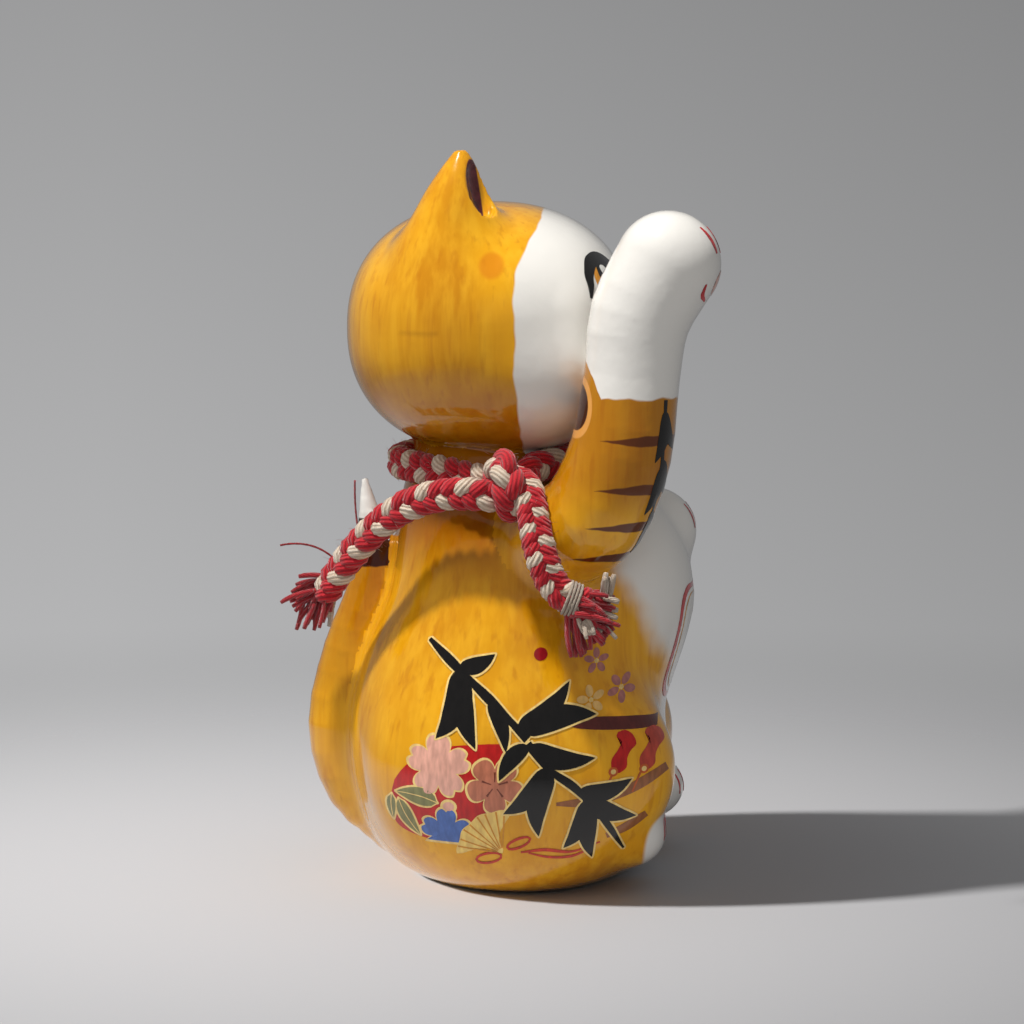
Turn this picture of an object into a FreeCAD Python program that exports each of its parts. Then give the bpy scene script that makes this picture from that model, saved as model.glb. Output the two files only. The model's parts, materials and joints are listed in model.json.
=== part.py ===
import FreeCAD, Part
import Sketcher
import math
import os

# Beckoning cat figurine, in glazed earthenware, with a cotton rope tied round its neck.
# The cat looks along -Y and sits on the XY plane, with its right side towards -X.
# Everything is drawn about the cat's own middle plane, x = 0, and then each sub-part is
# placed by (middle_x, middle_y), so that the origin is below the middle of the bounding box.

Vector = FreeCAD.Vector
UP = Vector(0, 0, 1)

doc = FreeCAD.newDocument("beckoning_cat")
sheet = doc.addObject("Spreadsheet::Sheet", "Sizes")
sheet_rows = {}


def cell(alias, value, note=""):
    """Put one driving dimension in the sheet, in millimetres or degrees."""
    row = len(sheet_rows) + 1
    sheet.set("A%d" % row, alias)
    sheet.set("B%d" % row, str(value))
    sheet.set("C%d" % row, note)
    sheet.setAlias("B%d" % row, alias)
    sheet_rows[alias] = float(value)


def cells(prefix, keys, values, note=""):
    """Put several dimensions of one feature in the sheet: prefix_key for each key."""
    for key, value in zip(keys.split(), values):
        cell(prefix + "_" + key, value, note)


def size(alias):
    return sheet_rows[alias]


# ---------------------------------------------------------------- driving dimensions
cell("middle_x", 2.79, "from the bounding box's middle to the cat's middle plane")
cell("middle_y", -1.45, "the same, front to back")
cell("wall", 3.5, "cast wall of the torso and head")
cell("arm_wall", 3.0, "cast wall of the raised arm")
cell("neck_passage_r", 9.0, "opening between the head and the torso")
cell("neck_passage_length", 26.0, "long enough to cut through both walls")
cell("neck_passage_below", 10.0, "how far it starts below the neck joint")
cell("foot_recess_r", 23.0, "inside of the foot ring")
cell("foot_recess_depth", 3.0)
cell("floor_top", 8.0, "inside floor of the torso")
cell("casting_hole_r", 12.0)
cell("paw_r", 12.8, "rounded end of the raised arm")
cell("vent_r", 3.0, "air hole into the raised arm, closed by the joint")
cell("vent_length", 30.0)
cell("vent_start", 12.0, "from the arm's first section in towards the middle")
cell("overcut", 1.0, "how far a cutting tool starts outside the face it cuts")
cell("neck_cutter_r", 60.0, "wider than the head")
cell("neck_cutter_height", 20.0)

# Torso: level ellipses from the foot ring to the neck.
TORSO_KEYS = "height half_width half_depth middle"
TORSO_SECTIONS = [
    (0.0, 31.0, 28.5, -0.5), (5.0, 37.5, 34.0, -0.5), (14.0, 43.0, 37.5, 0.5), (28.0, 46.0, 39.5, 2.0),
    (42.0, 45.0, 39.0, 2.5), (56.0, 41.0, 36.5, 1.5), (70.0, 36.0, 31.5, 0.5), (84.0, 30.0, 26.0, 3.5),
    (95.0, 24.0, 21.0, 7.0), (103.0, 20.6, 18.6, 7.0), (108.0, 20.2, 18.2, 7.0),
]
for number, values in enumerate(TORSO_SECTIONS):
    cells("torso%d_section" % number, TORSO_KEYS, values, "torso outline, from the base up")
NECK_HEIGHT = "Sizes.torso%d_section_height" % (len(TORSO_SECTIONS) - 1)
NECK_MIDDLE = "Sizes.torso%d_section_middle" % (len(TORSO_SECTIONS) - 1)

# Rounded masses: middle (x, y, z) and half sizes (x, y, z).
BLOB_KEYS = "x y z half_x half_y half_z"
BLOBS = {
    "belly": (0.0, -17.5, 70.0, 27.0, 26.0, 29.0),
    "haunch_right": (-25.0, -3.0, 30.0, 21.5, 36.0, 28.5),
    "haunch_left": (25.0, -3.0, 30.0, 21.5, 36.0, 28.5),
    "foot_right": (-24.0, -27.0, 9.0, 11.0, 10.5, 8.5),
    "foot_left": (26.0, -30.5, 9.5, 11.5, 12.0, 9.0),
    "left_upper_arm": (32.0, -9.0, 80.0, 11.0, 13.0, 19.0),
    "left_paw": (6.0, -33.0, 85.0, 12.0, 11.5, 11.5),
    "skull": (0.0, 6.5, 134.5, 40.0, 35.0, 30.9),
}
for name, values in BLOBS.items():
    cells(name, BLOB_KEYS, values)
cells("left_forearm", BLOB_KEYS + " reach_x reach_y reach_z",
      (22.5, -26.5, 78.0, 24.0, 10.5, 11.0, 34.0, 16.0, -14.0))

# Ears: level ellipses from inside the skull to the tip, drawn on the left side.
EAR_KEYS = "height middle half_width half_depth"
EAR_SECTIONS = [
    (146.0, 14.5, 12.5, 14.0), (157.0, 15.2, 10.8, 12.3), (167.0, 14.3, 7.5, 8.2), (175.0, 13.4, 3.6, 3.7),
    (177.7, 13.2, 1.2, 1.2),
]
for number, values in enumerate(EAR_SECTIONS):
    cells("ear%d_section" % number, EAR_KEYS, values, "ear outline, from the skull up")
cell("ear_side", 22.0, "ear tips from the middle plane")

# Raised arm: circles along its middle line (x, y, z, radius, lean forward from upright).
LIMB_KEYS = "x y z radius lean turn"
ARM_SECTIONS = [
    (-22.0, -6.0, 85.0, 12.5, 82.0, 62.0), (-30.5, -12.5, 87.5, 12.5, 72.0, 52.0),
    (-37.5, -19.5, 93.5, 12.6, 40.0, 35.0), (-40.0, -25.5, 108.0, 12.0, 13.0, 12.0),
    (-40.0, -28.1, 126.0, 11.2, 5.0, 0.0), (-39.7, -30.0, 140.0, 11.9, 20.0, 0.0),
    (-39.0, -36.3, 152.0, 12.3, 38.0, 0.0),
]
TAIL_SECTIONS = [
    (0.0, 36.0, 6.0, 7.5, -20.0, 0.0), (0.0, 41.0, 20.0, 9.5, -14.0, 0.0), (0.0, 42.6, 36.0, 9.4, 4.0, 0.0),
    (0.0, 40.6, 54.0, 7.6, 9.0, 0.0), (0.0, 37.0, 68.0, 5.6, 9.0, 0.0), (0.0, 35.6, 80.0, 4.3, -2.0, 0.0),
    (0.0, 37.0, 92.0, 1.9, -8.0, 0.0), (0.0, 37.6, 97.0, 0.6, -8.0, 0.0),
]
for number, values in enumerate(ARM_SECTIONS):
    cells("arm%d_section" % number, LIMB_KEYS, values, "raised arm, from the shoulder up")
for number, values in enumerate(TAIL_SECTIONS):
    cells("tail%d_section" % number, LIMB_KEYS, values, "tail, from the base up")

# Stopper in the casting hole.
cell("stopper_flange_r", 15.0)
cell("stopper_flange_base", 1.0, "underside of the flange above the table")
cell("stopper_flange_top", 2.7)
cell("stopper_plug_r", 11.7, "0.3 clear of the casting hole")
cell("stopper_plug_top", 12.0)
cell("stopper_hollow_r", 9.4)
cell("stopper_hollow_base", 4.5)

# Rope.
cell("rope_d", 8.0, "three-strand cotton rope")
cell("thread_d", 0.6, "loose yarn")
cell("whipping_wall", 0.7)
cell("whipping_length", 4.0)
cells("knot", BLOB_KEYS, (-32.5, 5.2, 102.3, 8.5, 10.3, 8.2))
cells("fray_back", BLOB_KEYS, (-17.5, 49.0, 67.0, 5.2, 5.2, 8.0))
cells("fray_front", BLOB_KEYS, (-49.0, -18.5, 68.3, 6.5, 7.0, 9.0))
doc.recompute()

# Rope route: the hand-laid points of each stretch.
COLLAR_ROUTE = [
    (-25.7, 0.7, 103.7), (-17.8, -11.1, 104.4), (-4.2, -17.1, 104.8), (10.8, -15.3, 104.7),
    (22.3, -6.3, 104.0), (26.6, 7.0, 103.3), (22.3, 20.3, 102.6), (10.8, 29.3, 102.0),
    (-4.2, 31.1, 101.9), (-17.8, 25.1, 102.2), (-25.7, 13.3, 102.9),
]
BACK_ROUTE = [
    (-34.5, 7.0, 99.0), (-34.5, 16.5, 97.5), (-31.5, 26.0, 94.3), (-27.0, 34.0, 87.5),
    (-22.5, 41.0, 79.0), (-19.0, 46.5, 70.5),
]
FRONT_ROUTE = [
    (-34.5, -0.2, 102.8), (-42.0, -1.7, 97.8), (-47.1, -4.1, 90.0), (-49.2, -7.8, 81.8),
    (-49.6, -12.2, 74.6), (-49.0, -16.6, 70.0),
]
THREAD_UP_ROUTE = [(-24.5, 37.3, 87.6), (-24.6, 38.2, 93.0), (-24.6, 38.0, 99.5)]
THREAD_OUT_ROUTE = [(-20.6, 43.2, 79.8), (-20.6, 48.6, 84.9), (-20.6, 56.5, 83.2)]


# ---------------------------------------------------------------- building blocks
def bind(obj, formulas):
    for prop, formula in formulas.items():
        obj.setExpression(prop, formula)


def ellipsoid(name, prefix=None, inset="0", rotation=FreeCAD.Rotation()):
    """A rounded mass read from the cells prefix_*, made smaller by inset all round."""
    at = "Sizes." + (prefix or name) + "_"
    obj = doc.addObject("Part::Ellipsoid", name)
    obj.Angle1, obj.Angle2, obj.Angle3 = -90, 90, 360
    obj.Placement = FreeCAD.Placement(Vector(), rotation)
    bind(obj, {
        "Radius1": at + "half_z - " + inset, "Radius2": at + "half_x - " + inset,
        "Radius3": at + "half_y - " + inset, "Placement.Base.x": at + "x",
        "Placement.Base.y": at + "y", "Placement.Base.z": at + "z",
    })
    return obj


def cylinder(name, radius, height, **place):
    """A cylinder whose place is given by formulas for x, y and z, or set afterwards."""
    obj = doc.addObject("Part::Cylinder", name)
    bind(obj, {"Radius": radius, "Height": height})
    bind(obj, {"Placement.Base." + axis: formula for axis, formula in place.items()})
    return obj


def loft(name, sections):
    obj = doc.addObject("Part::Loft", name)
    obj.Sections, obj.Solid, obj.Ruled, obj.MaxDegree = sections, True, False, 5
    return obj


def level_ellipse(name, at, x, height, inset="0"):
    """A level ellipse read from the cells at*, wider than it is deep or the other way round."""
    obj = doc.addObject("Part::Ellipse", name)
    wide, deep = "half_width", "half_depth"
    if size(at + wide) < size(at + deep):
        obj.Placement = FreeCAD.Placement(Vector(), FreeCAD.Rotation(UP, 90))
        wide, deep = deep, wide
    bind(obj, {
        "MajorRadius": "Sizes." + at + wide + " - " + inset,
        "MinorRadius": "Sizes." + at + deep + " - " + inset, "Placement.Base.x": x,
        "Placement.Base.y": "Sizes." + at + "middle", "Placement.Base.z": height,
    })
    return obj


def torso_loft(name, inset, first_height, last_height):
    """The torso's pear shape, from first_height (a formula) up, made smaller by inset.

    The hollow leaves out the second section, which is below its own floor.
    """
    sections = []
    last = len(TORSO_SECTIONS) - 1
    for number in range(len(TORSO_SECTIONS)):
        at = "torso%d_section_" % number
        height = {0: first_height, last: last_height}.get(number, "Sizes." + at + "height")
        if number == 1 and inset != "0":
            continue
        sections.append(level_ellipse("%s_%d" % (name, number), at, "0", height, inset))
    return loft(name, sections)


def limb_loft(name, prefix, count, inset="0", first=0):
    """A limb lofted through circles that lean forward and turn about the upright."""
    sections = []
    for number in range(first, count):
        at = "%s%d_section_" % (prefix, number)
        obj = doc.addObject("Part::Circle", "%s_%d" % (name, number))
        turn = FreeCAD.Rotation(UP, -size(at + "turn"))
        lean = FreeCAD.Rotation(Vector(1, 0, 0), size(at + "lean"))
        obj.Placement = FreeCAD.Placement(Vector(), turn.multiply(lean))
        bind(obj, {
            "Radius": "Sizes." + at + "radius - " + inset, "Placement.Base.x": "Sizes." + at + "x",
            "Placement.Base.y": "Sizes." + at + "y", "Placement.Base.z": "Sizes." + at + "z",
        })
        sections.append(obj)
    return loft(name, sections)


def sphere(name, radius, at):
    obj = doc.addObject("Part::Sphere", name)
    bind(obj, {"Radius": radius, "Placement.Base.x": "Sizes." + at + "x",
               "Placement.Base.y": "Sizes." + at + "y", "Placement.Base.z": "Sizes." + at + "z"})
    return obj


def fuse(name, shapes):
    obj = doc.addObject("Part::MultiFuse", name)
    obj.Shapes, obj.Refine = shapes, False
    return obj


def cut(name, base, tool):
    obj = doc.addObject("Part::Cut", name)
    obj.Base, obj.Tool, obj.Refine = base, tool, False
    return obj


def own_place(obj):
    """Keep a primitive's own place inside a sub-part that is placed as a whole."""
    holder = doc.addObject("Part::Compound", obj.Name + "_placed")
    holder.Links = [obj]
    return holder


sub_parts = {}


def sub_part(obj, name):
    """Name a finished sub-part and put it in its place in the part's frame."""
    obj.Label = name
    if obj.TypeId == "Part::Feature":
        obj.Placement = FreeCAD.Placement(Vector(size("middle_x"), size("middle_y"), 0), FreeCAD.Rotation())
    else:
        bind(obj, {"Placement.Base.x": "Sizes.middle_x", "Placement.Base.y": "Sizes.middle_y"})
    sub_parts[name] = obj


# ---------------------------------------------------------------- torso
torso_core = torso_loft("torso_core", "0", "0", NECK_HEIGHT)
torso_blobs = [ellipsoid(name) for name in (
    "belly", "haunch_right", "haunch_left", "foot_right", "foot_left", "left_upper_arm", "left_paw")]
forearm_reach = Vector(*[size("left_forearm_reach_" + key) for key in "xyz"])
left_forearm = ellipsoid("left_forearm", rotation=FreeCAD.Rotation(Vector(1, 0, 0), forearm_reach))
torso_mass = fuse("torso_mass", [torso_core] + torso_blobs)
torso_outer = fuse("torso_outer", [torso_mass, left_forearm])

torso_hollow = torso_loft("torso_hollow", "Sizes.wall", "Sizes.floor_top",
                          NECK_HEIGHT + " - Sizes.wall")
neck_passage = cylinder("neck_passage", "Sizes.neck_passage_r", "Sizes.neck_passage_length",
                        y=NECK_MIDDLE, z=NECK_HEIGHT + " - Sizes.neck_passage_below")
casting_hole = cylinder("casting_hole", "Sizes.casting_hole_r", "Sizes.floor_top + 2 * Sizes.overcut",
                        z="-Sizes.overcut")
foot_recess = cylinder("foot_recess", "Sizes.foot_recess_r", "Sizes.foot_recess_depth + Sizes.overcut",
                       z="-Sizes.overcut")
vent = cylinder("vent", "Sizes.vent_r", "Sizes.vent_length", x="Sizes.arm0_section_x + Sizes.vent_start",
                y="Sizes.arm0_section_y", z="Sizes.arm0_section_z")
vent.Placement = FreeCAD.Placement(Vector(), FreeCAD.Rotation(Vector(0, 1, 0), -90))
torso_space = fuse("torso_space", [torso_hollow, neck_passage, casting_hole, foot_recess, vent])
torso = cut("torso_solid", torso_outer, torso_space)
sub_part(torso, "torso")

# ---------------------------------------------------------------- head
skull = ellipsoid("skull")
ears = []
for side, sign in (("left", ""), ("right", "-")):
    rings = []
    for number in range(len(EAR_SECTIONS)):
        at = "ear%d_section_" % number
        rings.append(level_ellipse("ear_%s_%d" % (side, number), at, sign + "Sizes.ear_side",
                                   "Sizes." + at + "height"))
    ears.append(loft("ear_" + side, rings))
head_outer = fuse("head_outer", [skull] + ears)
skull_hollow = ellipsoid("skull_hollow", "skull", "Sizes.wall")
below_neck = cylinder("below_neck", "Sizes.neck_cutter_r", "Sizes.neck_cutter_height",
                      z=NECK_HEIGHT + " - Sizes.neck_cutter_height")
head_space = fuse("head_space", [skull_hollow, neck_passage, below_neck])
head = cut("head_solid", head_outer, head_space)
sub_part(head, "head")

# ---------------------------------------------------------------- raised arm
last_arm = "arm%d_section_" % (len(ARM_SECTIONS) - 1)
arm_outer = fuse("arm_outer", [
    limb_loft("arm_loft", "arm", len(ARM_SECTIONS)),
    sphere("paw", "Sizes.paw_r", last_arm),
])
arm_space = fuse("arm_space", [
    limb_loft("arm_hollow", "arm", len(ARM_SECTIONS), "Sizes.arm_wall", first=1),
    sphere("paw_hollow", "Sizes.paw_r - Sizes.arm_wall", last_arm),
])
arm_shell = cut("arm_shell", arm_outer, arm_space)
arm_vented = cut("arm_vented", arm_shell, vent)
sub_part(cut("arm_solid", arm_vented, torso_outer), "raised_arm")

# ---------------------------------------------------------------- tail
tail_loft = limb_loft("tail_loft", "tail", len(TAIL_SECTIONS))
sub_part(cut("tail_solid", tail_loft, torso_outer), "tail")


# ---------------------------------------------------------------- stopper
ON_AXIS = "on the axis"


def origin_plane(body, role):
    return [item for item in body.Origin.OriginFeatures if item.Role == role][0]


def stopper_body():
    """A turned bung: a flange under the floor and a hollow plug in the casting hole."""
    body = doc.addObject("PartDesign::Body", "stopper_body")
    sketch = body.newObject("Sketcher::SketchObject", "stopper_profile")
    sketch.AttachmentSupport = [(origin_plane(body, "XZ_Plane"), "")]
    sketch.MapMode = "FlatFace"
    corners = [
        (ON_AXIS, "stopper_flange_base"), ("stopper_flange_r", "stopper_flange_base"),
        ("stopper_flange_r", "stopper_flange_top"), ("stopper_plug_r", "stopper_flange_top"),
        ("stopper_plug_r", "stopper_plug_top"), ("stopper_hollow_r", "stopper_plug_top"),
        ("stopper_hollow_r", "stopper_hollow_base"), (ON_AXIS, "stopper_hollow_base"),
    ]
    points = [Vector(sheet_rows.get(across, 0), size(up), 0) for across, up in corners]
    for start, end in zip(points, points[1:] + points[:1]):
        sketch.addGeometry(Part.LineSegment(start, end))
    count = len(points)
    for number in range(count):
        sketch.addConstraint(Sketcher.Constraint("Coincident", number, 2, (number + 1) % count, 1))
    for number, (across, up) in enumerate(corners):
        for kind, alias in (("DistanceX", across), ("DistanceY", up)):
            if alias == ON_AXIS:
                sketch.addConstraint(Sketcher.Constraint("PointOnObject", number, 1, -2))
                continue
            index = sketch.addConstraint(Sketcher.Constraint(kind, -1, 1, number, 1, size(alias)))
            sketch.setExpression("Constraints[%d]" % index, "Sizes." + alias)
    turned = body.newObject("PartDesign::Revolution", "stopper_turned")
    turned.Profile = sketch
    turned.ReferenceAxis = (sketch, ["V_Axis"])
    turned.Angle = 360
    sketch.Visibility = False
    body.Tip = turned
    return body


sub_part(stopper_body(), "stopper")


# ---------------------------------------------------------------- rope
def rounded_path(route, label):
    """Straight runs joined by tangent arcs, each as large as its two runs allow."""
    points = [Vector(*place) for place in route]
    edges, start, radii = [], points[0], []
    for before, corner, after in zip(points, points[1:], points[2:]):
        inward, outward = (corner - before), (after - corner)
        half_turn = inward.getAngle(outward) / 2
        trim = 0.45 * min(inward.Length, outward.Length)
        radius = trim / math.tan(half_turn)
        inward.normalize()
        outward.normalize()
        first, last = corner - inward * trim, corner + outward * trim
        bisector = outward - inward
        bisector.normalize()
        middle = corner + bisector * (radius / math.cos(half_turn) - radius)
        edges.append(Part.LineSegment(start, first).toShape())
        edges.append(Part.Arc(first, middle, last).toShape())
        start = last
        radii.append(radius)
    edges.append(Part.LineSegment(start, points[-1]).toShape())
    print("%s: radii %s mm" % (label, " ".join("%.0f" % radius for radius in radii)))
    return Part.Wire(edges)


def tube(name, route, diameter):
    """A round tube along a route, its volume compared with its section times its length."""
    spine = rounded_path(route, name)
    start, along = Vector(*route[0]), Vector(*route[1]) - Vector(*route[0])
    section = Part.Wire([Part.Circle(start, along, diameter / 2).toShape()])
    shape = spine.makePipeShell([section], True, True)
    expected = math.pi * diameter ** 2 / 4 * spine.Length
    print("%s: length %.1f mm, volume off by %.2f%%" % (
        name, spine.Length, 100 * (shape.Volume / expected - 1)))
    if abs(shape.Volume / expected - 1) > 0.01:
        raise RuntimeError(name + ": the tube's volume isn't its section times its length")
    obj = doc.addObject("Part::Feature", name + "_tube")
    obj.Shape = shape
    sub_part(obj, name)


for rope_name, route, diameter in (
        ("rope_collar", COLLAR_ROUTE, size("rope_d")), ("rope_tail_back", BACK_ROUTE, size("rope_d")),
        ("rope_tail_front", FRONT_ROUTE, size("rope_d")),
        ("rope_thread_up", THREAD_UP_ROUTE, size("thread_d")),
        ("rope_thread_out", THREAD_OUT_ROUTE, size("thread_d"))):
    tube(rope_name, route, diameter)

sub_part(own_place(ellipsoid("knot_ball", "knot")), "rope_knot")
for end, route in (("fray_back", BACK_ROUTE), ("fray_front", FRONT_ROUTE)):
    along = FreeCAD.Rotation(UP, Vector(*route[-1]) - Vector(*route[-2]))
    sub_part(own_place(ellipsoid(end + "_bundle", end, rotation=along)), "rope_" + end)

binding_start = Vector(*FRONT_ROUTE[4])
binding_along = Vector(*FRONT_ROUTE[5]) - binding_start
sleeve = cylinder("whipping_outside", "Sizes.rope_d / 2 + Sizes.whipping_wall", "Sizes.whipping_length")
opening = cylinder("whipping_inside", "Sizes.rope_d / 2", "Sizes.whipping_length")
for obj in (sleeve, opening):
    obj.Placement = FreeCAD.Placement(binding_start, FreeCAD.Rotation(UP, binding_along))
sub_part(cut("whipping_sleeve", sleeve, opening), "rope_whipping")

# ---------------------------------------------------------------- checks and export
doc.recompute()
for obj in doc.Objects:
    if "Invalid" in obj.State or "Error" in obj.State:
        raise RuntimeError("%s is not sound: %s" % (obj.Name, obj.State))
for name, obj in sub_parts.items():
    if obj.Shape.isNull() or not obj.Shape.isValid() or obj.Shape.Volume <= 0:
        raise RuntimeError("%s has no valid shape" % name)
    print("%-16s %s mm3" % (name, " ".join("%.0f" % solid.Volume for solid in obj.Shape.Solids)))

whole = FreeCAD.BoundBox()
for name in ("torso", "head", "raised_arm", "tail", "stopper"):
    whole.add(sub_parts[name].Shape.optimalBoundingBox())
print("ceramic box %.2f..%.2f  %.2f..%.2f  %.2f..%.2f" % (
    whole.XMin, whole.XMax, whole.YMin, whole.YMax, whole.ZMin, whole.ZMax))

os.makedirs("parts", exist_ok=True)
for name, obj in sub_parts.items():
    obj.Shape.exportStep("parts/%s.step" % name)
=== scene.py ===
import bmesh
import bpy
import json
import math
import numpy as np
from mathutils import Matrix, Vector
from mathutils.bvhtree import BVHTree

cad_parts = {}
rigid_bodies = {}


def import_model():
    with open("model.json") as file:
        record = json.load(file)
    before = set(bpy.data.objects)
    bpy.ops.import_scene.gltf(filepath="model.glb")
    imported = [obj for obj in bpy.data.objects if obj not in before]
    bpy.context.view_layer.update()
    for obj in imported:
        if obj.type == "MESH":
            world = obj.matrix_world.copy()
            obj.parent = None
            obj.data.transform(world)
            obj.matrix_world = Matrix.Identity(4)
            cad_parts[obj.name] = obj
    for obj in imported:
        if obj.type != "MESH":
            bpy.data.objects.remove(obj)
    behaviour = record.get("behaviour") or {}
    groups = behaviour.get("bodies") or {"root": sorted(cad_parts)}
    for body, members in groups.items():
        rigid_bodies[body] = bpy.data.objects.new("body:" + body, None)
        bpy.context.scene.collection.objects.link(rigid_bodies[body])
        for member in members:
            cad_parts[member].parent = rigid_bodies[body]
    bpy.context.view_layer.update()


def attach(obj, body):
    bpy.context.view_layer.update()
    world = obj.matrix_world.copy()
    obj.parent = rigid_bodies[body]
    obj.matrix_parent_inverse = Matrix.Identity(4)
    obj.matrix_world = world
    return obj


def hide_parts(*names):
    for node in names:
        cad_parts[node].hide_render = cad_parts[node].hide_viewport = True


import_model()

# Shapes are drawn in millimetres about the cat's own middle plane, as in the CAD model: the cat
# looks along -Y, its right side is towards -X. OFFSET is where that middle plane stands in the frame.
MM = 0.001
OFFSET = np.array((2.79, -1.45, 0))
rng = np.random.default_rng(11)


def to_frame(points):
    """Millimetres about the cat's middle plane, to metres in the frame."""
    return (np.asarray(points, float) + OFFSET) * MM


# ---------------------------------------------------------------- camera
CAMERA_AZIMUTH, CAMERA_ELEVATION, CAMERA_DISTANCE = 272, 7, 0.8
SENSOR_WIDTH, FOCAL_PER_WIDTH = 36, 3.165      # the focal length is told over the picture's width
CAMERA_TARGET = Vector((0, 0.00124, 0.089))


def add_object(name, data):
    obj = bpy.data.objects.new(name, data)
    bpy.context.scene.collection.objects.link(obj)
    return obj


def make_camera():
    azimuth, elevation = math.radians(CAMERA_AZIMUTH), math.radians(CAMERA_ELEVATION)
    back = Vector((math.sin(azimuth) * math.cos(elevation), -math.cos(azimuth) * math.cos(elevation),
                   math.sin(elevation)))
    data = bpy.data.cameras.new("camera")
    data.sensor_width, data.lens, data.clip_start = SENSOR_WIDTH, SENSOR_WIDTH * FOCAL_PER_WIDTH, 0.01
    camera = add_object("camera", data)
    camera.location = Vector(to_frame((0, 0, 0))) + CAMERA_TARGET + back * CAMERA_DISTANCE
    camera.rotation_euler = back.to_track_quat("Z", "Y").to_euler()
    bpy.context.scene.camera = camera


make_camera()


# ---------------------------------------------------------------- solid shapes as distance fields
def smooth_min(a, b, width):
    share = np.clip(0.5 + 0.5 * (b - a) / width, 0, 1)
    return b + (a - b) * share - width * share * (1 - share)


def smooth_max(a, b, width):
    return -smooth_min(-a, -b, width)


def ellipsoid(points, middle, half, along=None, power=2):
    """Signed distance, nearly, to an ellipsoid whose first axis points along a direction."""
    local = points - np.array(middle, float)
    half = np.array(half, float)
    if along is not None:
        first = np.array(along, float) / np.linalg.norm(along)
        second = np.cross((0, 0, 1), first)
        second /= np.linalg.norm(second)
        local = local @ np.array((first, second, np.cross(first, second))).T
    ratio = np.abs(local) / half
    size = (ratio ** power).sum(1) ** (1 / power)
    slope = np.sqrt(((ratio / half) ** 2).sum(1)) + 1e-9
    return size * (size - 1) / slope


def limb(points, stations):
    """Distance to a round limb through (x, y, z, radius) stations, smoothed between them."""
    dense = curve_through(stations, 3)
    best = np.full(len(points), 1e9)
    for start, end in zip(dense, dense[1:]):
        along = end[:3] - start[:3]
        share = np.clip((points - start[:3]) @ along / (along @ along), 0, 1)
        nearest = start[:3] + share[:, None] * along
        radius = start[3] + share * (end[3] - start[3])
        best = np.minimum(best, np.linalg.norm(points - nearest, axis=1) - radius)
    return best


def curve_through(stations, steps):
    """Catmull-Rom points through the stations."""
    stations = np.array(stations, float)
    padded = np.vstack((2 * stations[0] - stations[1], stations, 2 * stations[-1] - stations[-2]))
    out = []
    for p0, p1, p2, p3 in zip(padded, padded[1:], padded[2:], padded[3:]):
        for t in np.arange(steps) / steps:
            out.append(0.5 * (2 * p1 + (p2 - p0) * t + (2 * p0 - 5 * p1 + 4 * p2 - p3) * t ** 2
                              + (3 * p1 - p0 - 3 * p2 + p3) * t ** 3))
    return np.array(out + [stations[-1]])


def stack(points, sections, side=0):
    """Distance, nearly, to level ellipses (height, half width, half depth, middle) joined smoothly."""
    dense = curve_through(sections, 8)
    height = points[:, 2]
    half_width, half_depth, middle = (np.interp(height, dense[:, 0], column) for column in dense.T[1:])
    across = (points[:, 0] - side) / half_width
    deep = (points[:, 1] - middle) / half_depth
    size = np.sqrt(across ** 2 + deep ** 2) + 1e-9
    slope = np.sqrt((across / half_width) ** 2 + (deep / half_depth) ** 2) + 1e-9
    wall = size * (size - 1) / slope
    return np.maximum(wall, np.maximum(dense[0, 0] - height, height - dense[-1, 0]))


# TORSO and EAR: (height, half width, half depth, middle) of level ellipses. Limbs: (x, y, z, radius).
# FOOT_RECESS and CASTING_HOLE: (radius, height).
TORSO = [(-6, 18, 16.5, -0.5), (0, 28, 26, -0.5), (5, 36, 33, -0.5), (14, 43, 37.5, 0.5),
         (28, 46, 39.5, 2), (42, 45, 39, 2.5), (56, 41, 36.5, 1.5), (70, 36, 31.5, 0.5),
         (84, 30, 26, 3.5), (95, 24, 21, 7), (103, 20.6, 18.6, 7), (112, 20.2, 18.2, 7)]
EAR = [(140, 13, 14, 15), (148, 12.4, 13.6, 15), (157, 10.8, 12.3, 15.2), (167, 7.4, 8.4, 14.3),
       (173.5, 4.4, 4.9, 13.6), (178.5, 1.2, 1.4, 13.2)]
RAISED_ARM = [(-20, -5, 84, 12.5), (-30.5, -12.5, 87.5, 12.5), (-37.5, -19.5, 93.5, 12.6),
              (-40, -25.5, 108, 12), (-40, -28.1, 126, 11.2), (-39.7, -30, 140, 11.8),
              (-39, -36.3, 152, 12.4)]
LEFT_ARM = [(24, -2, 92, 12), (33.5, -11, 81, 11.5), (32.5, -22, 73, 10.8),
            (20, -31, 75.5, 10.3), (8, -33.5, 83.5, 10.9)]
TAIL = [(0, 31, 10, 6), (0, 39, 21, 9), (0, 42.6, 36, 9.4), (0, 40.6, 54, 7.6),
        (0, 37, 68, 5.7), (0, 35.6, 80, 4.4), (0, 37, 92, 1.9), (0, 37.6, 97, 0.8)]
EAR_CUP = ((24.8, 8.2, 169.8), (8, 4.6, 3), (-0.06, 0.16, 1))
EAR_SET_LEFT, EAR_SET_RIGHT = np.array((0, 1.6, -1)), np.array((0, -0.6, -0.5))
SHOULDER_GROOVE = [(-35, 1.5, 88.5, 0.4), (-35.6, 0.3, 84.5, 0.8), (-36.6, -2.4, 78.5, 1),
                   (-36.4, -6.8, 74, 0.6)]
FOOT_RECESS = (23, 3)
CASTING_HOLE = (12, 14)


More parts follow.
